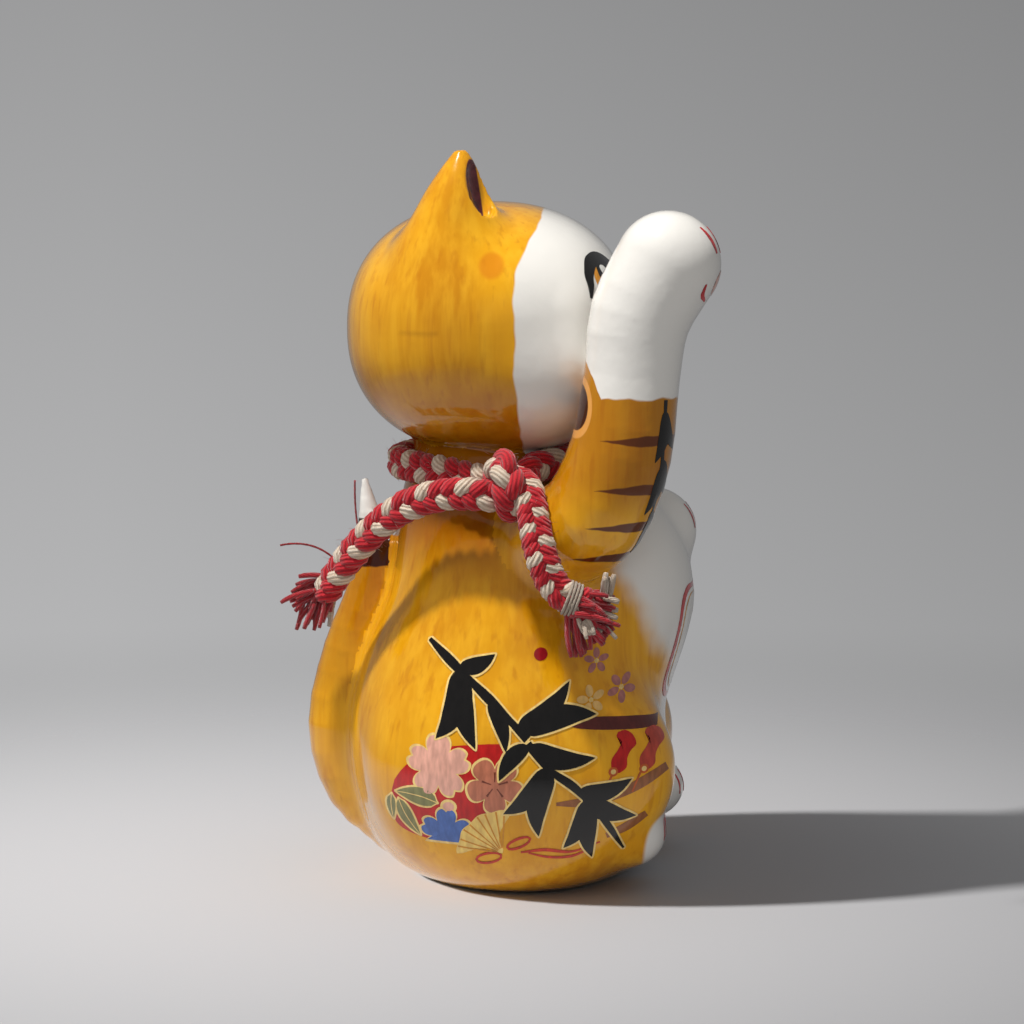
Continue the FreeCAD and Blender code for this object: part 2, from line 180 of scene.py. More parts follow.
def head_field(p):
    mirrored = p * (-1, 1, 1)
    skull = ellipsoid(p, (0, 6.5, 134.8), (40, 35, 30.6), power=2.25)
    for side in (p, mirrored):
        skull = smooth_min(skull, ellipsoid(side, (16, -6, 124), (20, 20, 15)), 8)
        skull = smooth_min(skull, ellipsoid(side, (4.6, -25, 124.5), (7, 5.6, 5.6)), 5)
    middle, half, along = EAR_CUP
    for side, set_on in ((p, EAR_SET_LEFT), (mirrored, EAR_SET_RIGHT)):
        skull = smooth_min(skull, stack(side - set_on, EAR, 22), 5)
        skull = smooth_max(skull, -ellipsoid(side - set_on, middle, half, along), 0.9)
    return skull


def torso_field(p):
    body = stack(p, TORSO)
    body = smooth_min(body, ellipsoid(p, (0, -17.5, 70), (27, 26, 29)), 10)
    for side in (-1, 1):
        body = smooth_min(body, ellipsoid(p, (side * 25, -3, 30), (21.5, 36, 28.5)), 7)
    body = smooth_min(body, ellipsoid(p, (-22.5, -27.2, 13.5), (11, 9.6, 8.2)), 3)
    body = smooth_min(body, ellipsoid(p, (24.5, -31, 15.5), (11.5, 11, 8.6)), 3)
    body = smooth_min(body, limb(p, LEFT_ARM), 3.5)
    body = smooth_max(body, -limb(p, SHOULDER_GROOVE), 0.9)
    radius = np.hypot(p[:, 0], p[:, 1])
    body = smooth_max(body, -np.maximum(radius - FOOT_RECESS[0], p[:, 2] - FOOT_RECESS[1]), 1)
    return np.maximum(body, -np.maximum(radius - CASTING_HOLE[0], p[:, 2] - CASTING_HOLE[1]))


PART_FIELDS = {"torso": torso_field, "head": head_field,
               "raised_arm": lambda p: limb(p, RAISED_ARM), "tail": lambda p: limb(p, TAIL)}
JOIN_WIDTHS = {"raised_arm": 6, "tail": 4.5, "head": 2}


def figure_field(p):
    """The whole glazed surface, its parts run together where they were luted."""
    body = PART_FIELDS["torso"](p)
    for name, width in JOIN_WIDTHS.items():
        body = smooth_min(body, PART_FIELDS[name](p), width)
    return smooth_max(body, -p[:, 2], 1.6)


def gradient(field, points, step=0.05):
    out = np.empty_like(points)
    for axis in range(3):
        shift = np.zeros(3)
        shift[axis] = step
        out[:, axis] = (field(points + shift) - field(points - shift)) / (2 * step)
    return out


def unit(vectors):
    return vectors / (np.linalg.norm(vectors, axis=-1, keepdims=True) + 1e-12)


def onto_surface(field, points, rounds):
    for _ in range(rounds):
        slope = gradient(field, points)
        move = field(points) / ((slope ** 2).sum(1) + 1e-9)
        points = points - np.clip(move, -1.5, 1.5)[:, None] * slope
    return points


def surface_mesh(field, low, high, spacing):
    """Vertices and quads of the field's zero surface, one vertex in each cell that it crosses.

    The field is read on a coarse grid first, and on the fine grid only near the surface."""
    coarse = 4
    low, high = np.array(low, float), np.array(high, float)
    counts = np.ceil((high - low) / (spacing * coarse)).astype(int) * coarse + 1
    axes = [low[a] + spacing * np.arange(counts[a]) for a in range(3)]
    grid = np.stack(np.meshgrid(*(axis[::coarse] for axis in axes), indexing="ij"), -1)
    value = field(grid.reshape(-1, 3)).reshape(grid.shape[:3])
    for axis in range(3):
        value = np.repeat(value, coarse, axis)
    start = coarse // 2
    value = value[start:, start:, start:][:counts[0], :counts[1], :counts[2]]
    pad = [(0, counts[a] - value.shape[a]) for a in range(3)]
    near = np.pad(np.abs(value) < spacing * coarse * 2.2, pad)
    value = np.pad(value, pad, constant_values=9)
    index = np.argwhere(near)
    value[near] = field(np.stack([axes[a][index[:, a]] for a in range(3)], 1))
    inside = value < 0
    total, hits, crossed = np.zeros((*(counts - 1), 3)), np.zeros(counts - 1, int), []
    for axis in range(3):
        before, after = [slice(None)] * 3, [slice(None)] * 3
        before[axis], after[axis] = slice(0, -1), slice(1, None)
        before, after = tuple(before), tuple(after)
        crossing = inside[before] != inside[after]
        cells = np.argwhere(crossing)
        a, b = value[before][crossing], value[after][crossing]
        place = cells.astype(float)
        place[:, axis] += a / (a - b)
        crossed.append((cells, inside[before][crossing]))
        others = [other for other in range(3) if other != axis]
        for shift in ((0, 0), (0, 1), (1, 0), (1, 1)):
            cell = cells.copy()
            cell[:, others] -= shift
            good = ((cell >= 0) & (cell < counts - 1)).all(1)
            where = tuple(cell[good].T)
            np.add.at(total, where, place[good])
            np.add.at(hits, where, 1)
    used = hits > 0
    number = np.full(hits.shape, -1)
    number[used] = np.arange(used.sum())
    quads = []
    for axis, (cells, starts_inside) in enumerate(crossed):
        corners = []
        for shift in ((0, 0), (1, 0), (1, 1), (0, 1)):
            cell = cells.copy()
            cell[:, [(axis + 1) % 3, (axis + 2) % 3]] -= shift
            corners.append(number[tuple(np.clip(cell, 0, counts - 2).T)])
        quad = np.stack(corners, 1)
        quad[~starts_inside] = quad[~starts_inside][:, ::-1]
        quads.append(quad[(quad >= 0).all(1)])
    return low + spacing * total[used] / hits[used][:, None], np.vstack(quads)


def relax(field, vertices, quads, rounds):
    """Even out the mesh along the surface, and put it back on the surface each time."""
    edges = np.vstack([quads[:, (a, (a + 1) % 4)] for a in range(4)])
    for _ in range(rounds):
        total, count = np.zeros_like(vertices), np.zeros(len(vertices))
        for a, b in ((0, 1), (1, 0)):
            np.add.at(total, edges[:, a], vertices[edges[:, b]])
            np.add.at(count, edges[:, a], 1)
        vertices = onto_surface(field, 0.5 * vertices + 0.5 * total / count[:, None], 1)
    return onto_surface(field, vertices, 2)


# ---------------------------------------------------------------- glazed ceramic meshes
GRID = 1
FIGURE_LOW, FIGURE_HIGH = (-57, -56, -2), (52, 56, 182)
figure_vertices, figure_quads = surface_mesh(figure_field, FIGURE_LOW, FIGURE_HIGH, GRID)
figure_vertices = relax(figure_field, figure_vertices, figure_quads, 3)
figure_normals = unit(gradient(figure_field, figure_vertices))
figure_tree = BVHTree.FromPolygons(figure_vertices.tolist(), figure_quads.tolist())
on_head = np.abs(head_field(figure_vertices)) < 0.3
head_quads = figure_quads[on_head[figure_quads].all(1)]
head_tree = BVHTree.FromPolygons(figure_vertices.tolist(), head_quads.tolist())


def close_inwards(mesh, normals, depth=1.6):
    """Close a skin's open edges with walls that go inwards and a lid across their far end."""
    shell = bmesh.new()
    shell.from_mesh(mesh)
    shell.verts.ensure_lookup_table()
    count = len(shell.verts)
    open_edges = [edge for edge in shell.edges if edge.is_boundary]
    made = bmesh.ops.extrude_edge_only(shell, edges=open_edges)["geom"]
    shell.verts.index_update()
    for vertex in [item for item in made if isinstance(item, bmesh.types.BMVert)]:
        start = [edge.other_vert(vertex) for edge in vertex.link_edges
                 if edge.other_vert(vertex).index < count][0]
        vertex.co = start.co - Vector(normals[start.index]) * depth * MM
    bmesh.ops.holes_fill(shell, edges=[edge for edge in shell.edges if edge.is_boundary], sides=0)
    bmesh.ops.triangulate(shell, faces=[face for face in shell.faces if len(face.verts) > 4])
    shell.to_mesh(mesh)
    shell.free()
    return np.vstack((normals, np.zeros((len(mesh.vertices) - count, 3))))


def new_mesh(name, vertices, faces):
    """A mesh from millimetre vertices."""
    mesh = bpy.data.meshes.new(name)
    mesh.from_pydata(to_frame(vertices).tolist(), [], faces)
    return mesh


def add_piece(mesh, materials):
    """Put a finished mesh in the scene, where it rides on the figurine."""
    for material in materials:
        mesh.materials.append(material)
    obj = add_object(mesh.name, mesh)
    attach(obj, "figurine")
    return obj


def glazed_piece(name, vertices, faces, normals, material, slot, close=False):
    """A piece of the smooth glazed surface, which keeps the normals that it is given."""
    mesh = new_mesh(name, vertices, faces)
    if close:
        normals = close_inwards(mesh, normals)
    mesh.shade_smooth()
    mesh.normals_split_custom_set_from_vertices(normals.tolist())
    return add_piece(mesh, [material])


def ceramic_pieces(materials):
    """The glazed surface parted along the joins into the four castings, each one closed."""
    nearest = np.argmin([field(figure_vertices) for field in PART_FIELDS.values()], axis=0)
    owner = np.sort(nearest[figure_quads], axis=1)[:, 1]
    for number, name in enumerate(PART_FIELDS):
        used, quads = np.unique(figure_quads[owner == number], return_inverse=True)
        obj = glazed_piece(name + "_glazed", figure_vertices[used], quads.reshape(-1, 4).tolist(),
                           figure_normals[used], *materials[name], close=True)
        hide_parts(name)


# ---------------------------------------------------------------- materials
class Formula:
    """A shader node's output that can stand in a formula like a number."""

    def __init__(self, tree, socket):
        self.tree, self.socket = tree, socket

    def math(self, operation, *values):
        return add_node(self.tree, "ShaderNodeMath", values, operation=operation)

    def __add__(self, other):
        return self.math("ADD", self, other)

    def __sub__(self, other):
        return self.math("SUBTRACT", self, other)

    def __rsub__(self, other):
        return self.math("SUBTRACT", other, self)

    def __mul__(self, other):
        return self.math("MULTIPLY", self, other)

    def __pow__(self, other):
        return self.math("POWER", self, other)

    def __abs__(self):
        return self.math("ABSOLUTE", self)

    def remap(self, low, high, to_low=0, to_high=1, ease="LINEAR"):
        return add_node(self.tree, "ShaderNodeMapRange", [self, low, high, to_low, to_high],
                        interpolation_type=ease)

    def above(self, edge, softness):
        """0 below the edge, 1 above it, smooth over the softness."""
        return self.remap(edge - softness / 2, edge + softness / 2, ease="SMOOTHSTEP")

    def below(self, edge, softness):
        return 1 - self.above(edge, softness)


def feed(tree, socket, value):
    if isinstance(value, Formula):
        tree.links.new(value.socket, socket)
    elif value is not None:
        socket.default_value = value


def add_node(tree, kind, inputs=(), output=0, **settings):
    """One output of a new node, whose inputs are given in order or by name."""
    made = tree.nodes.new(kind)
    for key, value in settings.items():
        setattr(made, key, value)
    for index, value in inputs.items() if isinstance(inputs, dict) else enumerate(inputs):
        feed(tree, made.inputs[index], value)
    return Formula(tree, made.outputs[output])


def vector_math(operation, first, *others, output=0):
    return add_node(first.tree, "ShaderNodeVectorMath", [first, *others], output, operation=operation)


def split(vector):
    """The x, y and z of a vector."""
    parts = add_node(vector.tree, "ShaderNodeSeparateXYZ", [vector]).socket.node.outputs
    return [Formula(vector.tree, part) for part in parts]


def rgba(color):
    """An sRGB (r, g, b) in 0..255 as a linear color; formulas pass through."""
    if isinstance(color, Formula):
        return color
    linear = [((c / 255 + 0.055) / 1.055) ** 2.4 if c > 10 else c / 255 / 12.92 for c in color]
    return (*linear, 1)


def mix(share, first, second):
    return add_node(share.tree, "ShaderNodeMix", {"Factor": share, 6: rgba(first), 7: rgba(second)}, 2,
                    data_type="RGBA")


class Paint:
    """A material written as formulas on the surface point, in millimetres about the cat."""

    def __init__(self, name):
        self.material = bpy.data.materials.new(name)
        self.material.use_nodes = True
        self.tree = self.material.node_tree
        self.place = add_node(self.tree, "ShaderNodeTexCoord", output="Object")
        moved = vector_math("ADD", self.place, tuple(-OFFSET * MM))
        self.point = vector_math("MULTIPLY", moved, (1 / MM, 1 / MM, 1 / MM))
        self.x, self.y, self.z = split(self.point)

    def noise(self, scale, detail=2, stretch=(1, 1, 1), roughness=0.5, shift=(0, 0, 0)):
        place = vector_math("MULTIPLY_ADD", self.point, stretch, shift)
        return add_node(self.tree, "ShaderNodeTexNoise", {"Vector": place, "Scale": scale, "Detail": detail,
                                                          "Roughness": roughness})

    def distance_to(self, middle, half=(1, 1, 1)):
        """How many half sizes the point is from the middle of an ellipsoid."""
        moved = vector_math("SUBTRACT", self.point, middle)
        return vector_math("LENGTH", vector_math("MULTIPLY", moved, tuple(1 / h for h in half)), output=1)

    def finish(self, color, roughness, bump=None, **sockets):
        """Set the shader's sockets; bump is a height, a strength and a distance in millimetres."""
        if bump:
            height, strength, distance = bump
            sockets["Normal"] = add_node(self.tree, "ShaderNodeBump", {
                "Strength": strength, "Distance": distance * MM, "Height": height})
        sockets.update(Base_Color=rgba(color), Roughness=roughness)
        for name, value in sockets.items():
            feed(self.tree, self.tree.nodes["Principled BSDF"].inputs[name.replace("_", " ")], value)
        return self.material


WHITE, CREAM, CLAY, INK = (236, 233, 227), (243, 205, 128), (206, 190, 166), (16, 14, 13)
YELLOW, AMBER, LIGHT_YELLOW = (236, 168, 18), (208, 137, 12), (250, 190, 42)
# The middle one of these three, the deepest amber, is painted shade: shaded parts of the yellow glaze are
# darkened towards it.
POOLED, SHADE_AMBER, BROWN = (182, 98, 6), (146, 78, 6), (100, 48, 12)
DARK_BROWN, EAR_BROWN = (58, 24, 14), (78, 26, 30)


def brushed_yellow(paint, depth):
    """Yellow stain laid on with a broad brush, mostly up and down; where the depth says, it is darkened
    towards the deepest amber, which is painted shade.
    """
    streaks = paint.noise(0.34, 3, (1, 1, 0.07), 0.55)
    patches = paint.noise(0.045, 2, (1, 1, 0.6), shift=(4, 0, 3))
    pooled = paint.noise(0.5, 2, (1, 1, 0.1), shift=(9, 2, 0))
    color = mix(patches.remap(0.34, 0.66), AMBER, YELLOW)
    color = mix(streaks.remap(0.4, 0.66, 0, 0.42), color, LIGHT_YELLOW)
    return mix(depth, mix(pooled.remap(0.56, 0.72, 0, 0.34), color, POOLED), SHADE_AMBER)


def glaze_finish(paint, color):
    ripple, pits = paint.noise(0.22), paint.noise(2.6, shift=(3, 1, 7))
    return paint.finish(color, ripple.remap(0.3, 0.7, 0.16, 0.24), (ripple + pits * 0.03, 0.35, 0.35),
                        Coat_Weight=1, Coat_Roughness=0.02, Specular_IOR_Level=0.1)


def bare_foot(paint, color):
    """The unglazed clay that the foot ring stands on."""
    return mix(paint.z.below(0.7, 0.5), color, CLAY)


def torso_paint():
    paint = Paint("torso_glaze")
    drift = paint.noise(0.09, shift=(0, 5, 2)).remap(0, 1, -4, 4)
    white = (drift - paint.y).above(paint.z.remap(44, 78, 43, 24.5), 8)
    lap = abs(paint.x).below(12, 7) * paint.y.below(-18, 6)
    feet = [paint.distance_to(middle, half).below(1, 0.2) for middle, half in (
        ((-22.5, -34.5, 12.5), (11.5, 5, 8.5)), ((24.5, -38.5, 14.5), (12, 7, 9)))]
    for patch in (lap, *feet):
        white = white.math("MAXIMUM", white, patch)
    # Painted shade: the neck under the head is darkened towards the deepest amber, but not close to the
    # raised arm's root.
    depth = paint.z.above(80, 18) * 0.85 * paint.distance_to((-36, -16, 90)).above(20, 14)
    return glaze_finish(paint, bare_foot(paint, mix(white, brushed_yellow(paint, depth), WHITE)))


def head_paint():
    paint = Paint("head_glaze")
    # Painted shade: the head below about 124 mm is darkened towards the deepest amber.
    yellow = brushed_yellow(paint, paint.z.below(124, 13) * 0.45)
    waver = paint.noise(0.12, 1, shift=(1, 8, 4)).remap(0, 1, -0.9, 0.9)
    edge = paint.z.remap(148, 166, -0.6, -7, "SMOOTHSTEP")
    mask = (paint.y + waver + paint.z.remap(126, 106, 0, 1.9)).below(edge, 0.7)
    blobs = [paint.distance_to((x, 4.9, 150.8), (7, 3.3, 3.6)) for x in (-32, 32)]
    yellow = mix(blobs[0].math("MINIMUM", *blobs).below(1, 0.35) * 0.6, yellow, (214, 118, 10))
    color = mix(mask, yellow, WHITE)
    shade = mix(paint.noise(0.5).remap(0.3, 0.7), EAR_BROWN, (104, 44, 52))
    middle, half, along = EAR_CUP
    for side, set_on in ((1, EAR_SET_LEFT), (-1, EAR_SET_RIGHT)):
        rise = paint.z - (middle[2] + set_on[2])
        across = (paint.x - side * middle[0] - rise * (side * along[0])) * (1 / (half[1] - 0.2))
        deep = paint.y - (middle[1] + set_on[1]) - rise * along[1]
        reach = across ** 2 + (deep * (1 / (half[2] + 0.5))) ** 2 + (rise * (1 / half[0])) ** 2
        color = mix(reach.below(1, 0.1) * deep.above(0.7, 0.3), color, shade)
    return glaze_finish(paint, color)


def arm_paint():
    paint = Paint("arm_glaze")
    waver = paint.noise(0.25, 1).remap(0, 1, -0.7, 0.7)
    glove = (paint.z + waver).above(paint.y.remap(-21, -17.5, 121.4, 129.5), 0.6)
    # Painted shade: the yellow of the arm above about 97 mm is darkened towards the deepest amber.
    color = mix(glove, brushed_yellow(paint, paint.z.above(97, 14) * 0.6), WHITE)
    for tip, level in ((-20.8, 111.6), (-19.4, 100.2), (-17.4, 91.2), (-13.8, 83.6)):
        off = abs(paint.z + waver * 0.6 - level)
        stripe = off.below(paint.y.remap(tip, tip - 11, 0, 1.25), 0.35) * paint.y.below(tip, 0.4)
        color = mix(stripe, color, BROWN)
    spot = paint.distance_to((-42, -15.6, 119), (8.5, 2.9, 5.6))
    color = mix(spot.below(1.34, 0.08), color, (226, 158, 78))
    return glaze_finish(paint, mix(spot.below(1, 0.08), color, DARK_BROWN))


def tail_paint():
    paint = Paint("tail_glaze")
    level = paint.z + paint.noise(0.3, 1).remap(0, 1, -0.6, 0.6)
    # Painted shade: the tail above about 44 mm is darkened towards the deepest amber.
    color = brushed_yellow(paint, paint.z.above(44, 14) * 0.45)
    color = mix(level.above(76, 0.5), color, DARK_BROWN)
    color = mix(level.above(87.5, 0.5), color, WHITE)
    return glaze_finish(paint, bare_foot(paint, color))


def flat_glaze(name, color, spread):
    """Paint under the same clear glaze, a little uneven where the brush ran dry."""
    paint = Paint(name)
    dark = tuple(c * (1 - spread) for c in color)
    light = tuple(min(255, c * (1 + spread) + 3) for c in color)
    return glaze_finish(paint, mix(paint.noise(0.8, 2, (1, 1, 0.3)).remap(0.35, 0.7), dark, light))


ceramic_pieces({"torso": (torso_paint(), "yellow_glaze"), "head": (head_paint(), "yellow_glaze"),
                "raised_arm": (arm_paint(), "white_glaze"), "tail": (tail_paint(), "yellow_glaze")})


def stopper_material():
    """Soft milky plastic with a fine grain, for the plug in the casting hole."""
    paint = Paint("milky_plastic")
    grain = paint.noise(1.6, 3)
    material = paint.finish(mix(grain.remap(0.35, 0.65), (208, 206, 198), (228, 226, 219)),
                            paint.noise(0.4).remap(0.3, 0.7, 0.55, 0.72), (grain, 0.5, 0.12),
                            Specular_IOR_Level=0.4)
    for obj in bpy.data.objects:
        if obj.type == "MESH" and "stopper" in obj.name:
            for slot in obj.material_slots:
                slot.link = "OBJECT"
                slot.material = material


stopper_material()


# ---------------------------------------------------------------- rope
# The rope's route, from the loose front end up over the knot, round the neck, back through the knot
# and down to the loose back end. The tails' and the collar's points are those of the CAD model.
ROPE_ROUTE = [
    (-49.5, -18.6, 73.6), (-49.9, -13.4, 74.6), (-49.6, -9.6, 78.4), (-48.6, -7.2, 84.6),
    (-46.8, -5.6, 91.5), (-44.2, -4.6, 97.6), (-39.8, -3.4, 100.4), (-35.4, 0.6, 101),
    (-35.8, 3.4, 104), (-41, 1.6, 105.6), (-44.2, 0.6, 101.6), (-43.6, 0.2, 96.8),
    (-38.4, -0.6, 94.2), (-31, -1.6, 97.6), (-25.4, -3.4, 102.6), (-17.2, -10.4, 103.2),
    (-4.2, -16, 103.6), (10.4, -14.4, 103.5), (21.6, -5.8, 103), (25.6, 7, 102.6),
    (21.4, 19.4, 102.2), (10.4, 27.8, 102), (-4.2, 29.4, 101.9), (-17.4, 24.2, 102),
    (-25.2, 16, 101.6), (-29.6, 9, 100.6), (-33.6, 3.4, 99.4), (-38.4, 4.4, 97.2),
    (-38, 9.6, 98), (-35.6, 16.5, 97.6), (-31.8, 26, 94.3), (-27, 34, 87.5),
    (-22.5, 41, 79), (-19, 46.5, 70.5),
]
STRAND_RADIUS, PLAIT_REACH, PLAIT_DEPTH = 1.92, 2, 1.25
NECK_AXIS = (0, 0, 100)
STRAND_SIDES, YARNS_ROUND_STRAND = 48, 11
# (share of the rope's length, how far one turn of a strand goes there): the front end is plaited tightest.
PLAIT_PERIODS = ((0, 6.8), (0.13, 6.8), (0.17, 15), (0.25, 15), (0.35, 12), (0.72, 12),
                 (0.82, 10), (1, 9))


def spline_through(route):
    """Points along the smooth curve that a route controls, in millimetres."""
    data = bpy.data.curves.new("route", "CURVE")
    data.dimensions, data.resolution_u = "3D", 24
    spline = data.splines.new("NURBS")
    spline.points.add(len(route) - 1)
    for point, place in zip(spline.points, route):
        point.co = (*to_frame(place), 1)
    spline.order_u, spline.use_endpoint_u = 3, True
    obj = bpy.data.objects.new("route", data)
    mesh = bpy.data.meshes.new_from_object(obj)
    line = np.array([vertex.co[:] for vertex in mesh.vertices]) / MM - OFFSET
    bpy.data.meshes.remove(mesh)
    bpy.data.objects.remove(obj)
    bpy.data.curves.remove(data)
    return line


def resampled(line, count):
    """Evenly spaced points along a line, as many as its length asks for, and where they are."""
    along = np.concatenate(([0], np.cumsum(np.linalg.norm(np.diff(line, axis=0), axis=1))))
    at = np.linspace(0, along[-1], count(along[-1]))
    return np.stack([np.interp(at, along, column) for column in line.T], 1), at


def evenly(line, step):
    return resampled(line, lambda length: max(3, int(round(length / step)) + 1))


def frames_along(line):
    """Tangents and two crosswise directions that never twist."""
    tangent = unit(np.gradient(line, axis=0))
    across = np.empty_like(line)
    start = np.cross(tangent[0], (0, 0, 1))
    across[0] = start / np.linalg.norm(start)
    for index in range(1, len(line)):
        moved = across[index - 1] - (across[index - 1] @ tangent[index]) * tangent[index]
        across[index] = moved / np.linalg.norm(moved)
    return tangent, across, np.cross(tangent, across)


def tube_rings(centres, first, second, radii):
    """Rings of points round each centre; radii has one row per ring and one column per side."""
    angle = np.linspace(0, 2 * np.pi, radii.shape[1], endpoint=False)
    offset = np.cos(angle)[None, :, None] * first[:, None] + np.sin(angle)[None, :, None] * second[:, None]
    return centres[:, None] + radii[:, :, None] * offset


def grid_quads(grid, closed):
    """Quads between neighbouring rows and columns; a closed grid's last column meets its first."""
    left, right = (grid, np.roll(grid, -1, axis=1)) if closed else (grid[:, :-1], grid[:, 1:])
    return np.stack((left[:-1], right[:-1], right[1:], left[1:]), -1).reshape(-1, 4).tolist()


def tube_faces(rings, sides, start):
    """Quads of a tube and its two end caps."""
    grid = start + np.arange(rings * sides).reshape(rings, sides)
    return grid_quads(grid, True) + [grid[0, ::-1].tolist(), grid[-1].tolist()]


def build_tubes(name, tubes, materials):
    """One piece of many closed tubes; each is (rings, material index, along) and keeps a UV map the way
    round it and the millimetres along it."""
    vertices, faces, indices, coordinates = [], [], [], []
    count = 0
    for rings, index, along in tubes:
        length, sides = rings.shape[:2]
        made = tube_faces(length, sides, count)
        faces += made
        indices += [index] * len(made)
        vertices.append(rings.reshape(-1, 3))
        for near, far in zip(along, along[1:]):
            for side in range(sides):
                a, b = side / sides, (side + 1) / sides
                coordinates += [a, near, b, near, b, far, a, far]
        coordinates += [0, along[0]] * sides + [0, along[-1]] * sides
        count += length * sides
    mesh = new_mesh(name, np.vstack(vertices), faces)
    mesh.shade_smooth()
    mesh.polygons.foreach_set("material_index", indices)
    mesh.uv_layers.new(name="fibre").data.foreach_set("uv", np.array(coordinates, np.float32))
    return add_piece(mesh, materials)


def cotton(name, light, dark):
    """Spun cotton: yarns that twist round the strand, soft fibres and a little fuzz."""
    paint = Paint(name)
    round_it, along, _ = split(add_node(paint.tree, "ShaderNodeUVMap", uv_map="fibre"))
    turns = round_it * YARNS_ROUND_STRAND + along * 0.55
    yarn = abs(turns.math("FRACT", turns) - 0.5).remap(0, 0.5, 1, 0)
    fibre, broad = paint.noise(3.2, 3, roughness=0.65), paint.noise(0.35, shift=(7, 3, 1))
    # Painted shade: each yarn is darker towards the grooves between yarns; the fibre noise and the broad
    # patches are the cotton's own uneven tone.
    color = mix(yarn * 0.62 + fibre.remap(0.35, 0.7) * 0.38, dark, light)
    color = mix(broad.remap(0.42, 0.62, 0, 0.22), color, dark)
    return paint.finish(color, 0.88, (yarn ** 0.6 + fibre * 0.45, 0.85, 0.3), Sheen_Weight=0.35,
                        Sheen_Roughness=0.45, Specular_IOR_Level=0.25)


COTTONS = [cotton("cotton_red", (222, 48, 58), (136, 12, 26)),
           cotton("cotton_cream", (242, 230, 212), (176, 148, 122))]
rope_line, rope_at = evenly(spline_through(ROPE_ROUTE), 0.55)
ROPE_LENGTH = rope_at[-1]


def rope_strands():
    """Three strands plaited flat: each weaves from side to side, and passes over and under the others."""
    tangent = frames_along(rope_line)[0]
    facing = (rope_line - NECK_AXIS) * (1, 1, 0.2)
    facing = unit(facing - (facing * tangent).sum(1)[:, None] * tangent)
    sideways = np.cross(tangent, facing)
    period = np.interp(rope_at[:-1] / ROPE_LENGTH, *zip(*PLAIT_PERIODS))
    turn = np.concatenate(([0], np.cumsum(np.diff(rope_at) / period))) * 2 * np.pi
    uneven = 0.1 * np.sin(rope_at / 7.3) + 0.08 * np.sin(rope_at / 3.1 + 2)
    phi = np.linspace(0, 2 * np.pi, STRAND_SIDES, endpoint=False)
    yarn = np.abs(np.cos(YARNS_ROUND_STRAND / 2 * (phi - 1.25 * turn[:, None])))
    ends = np.minimum(1, 0.55 + np.minimum(rope_at, ROPE_LENGTH - rope_at) / 3)
    radii = STRAND_RADIUS * (0.9 + 0.13 * yarn ** 0.6) * ends[:, None]
    tubes = []
    for strand, color in enumerate((1, 0, 0)):
        angle = -turn + strand * 2 * np.pi / 3 + 0.6
        wander = 1 + 0.04 * np.sin(rope_at / 2.3 + strand * 2.1) + 0.25 * uneven
        centres = (rope_line + (PLAIT_REACH * np.sin(angle) * wander)[:, None] * sideways
                   + (PLAIT_DEPTH * np.sin(2 * angle) * wander)[:, None] * facing)
        outward = unit(centres - rope_line + 1e-3 * facing)
        forward = unit(np.gradient(centres, axis=0))
        first = unit(outward - (outward * forward).sum(1)[:, None] * forward)
        tubes.append((tube_rings(centres, first, np.cross(forward, first), radii), color, rope_at))
    return build_tubes("rope", tubes, COTTONS)


def yarn(start, heading, length, radius, droop=0.3, curl=0.25, steps=7, sides=6):
    """One loose yarn: it sets off along its heading, sags under its own weight and curls a little."""
    heading = np.array(heading, float) / np.linalg.norm(heading)
    aside = np.cross(heading, (0.3, 0.2, 1))
    aside /= np.linalg.norm(aside)
    phase = rng.uniform(0, 2 * np.pi)
    places, place = [], np.array(start, float)
    for share in np.arange(steps) / (steps - 1):
        places.append(place)
        way = heading + np.array((0, 0, -droop * share)) + curl * aside * math.sin(phase + 4 * share)
        place = place + way / np.linalg.norm(way) * length / (steps - 1)
    places = np.array(places)
    _, first, second = frames_along(places)
    taper = np.interp(np.linspace(0, 1, steps), (0, 0.1, 0.8, 1), (0.9, 1, 1, 0.75))
    radii = radius * taper[:, None] * np.ones((1, sides))
    return tube_rings(places, first, second, radii), np.linspace(0, length, steps)


def spread_round(axis, amount):
    """A direction near an axis, up to about amount (a tangent) away from it."""
    axis = np.array(axis, float) / np.linalg.norm(axis)
    return axis + rng.normal(0, amount / 2, 3)


def frayed_end(name, end, bunches):
    """Loose yarns in bunches that leave about the same place, told from the rope's end, the same way."""
    tubes = []
    for count, color, off, spread, heading, fan, lengths, radii, *bend in bunches:
        for _ in range(count):
            start = np.add(end, off) + rng.normal(0, 1, 3) * spread
            made, along = yarn(start, spread_round(heading, fan), rng.uniform(*lengths),
                               rng.uniform(*radii), *bend)
            tubes.append((made, color, along))
    return build_tubes(name, tubes, COTTONS)


def back_fray():
    """The back end: red yarns that fan out backwards and down, with a few cream ones below them."""
    return frayed_end("rope_fray_back_yarns", ROPE_ROUTE[-1], (
        (20, 0, (0, -0.4, 2), 1.5, (0, 1, -0.15), 0.34, (6.5, 9), (0.55, 0.72), 0.45),
        (16, 0, (0, -1, 1), 1.5, (0.05, 0.45, -1), 0.3, (6.5, 9), (0.55, 0.72), 0.45),
        (7, 1, (0, -2.2, 1), 1.2, (0.05, 0.1, -1), 0.25, (5, 7.5), (0.5, 0.65), 0.2)))


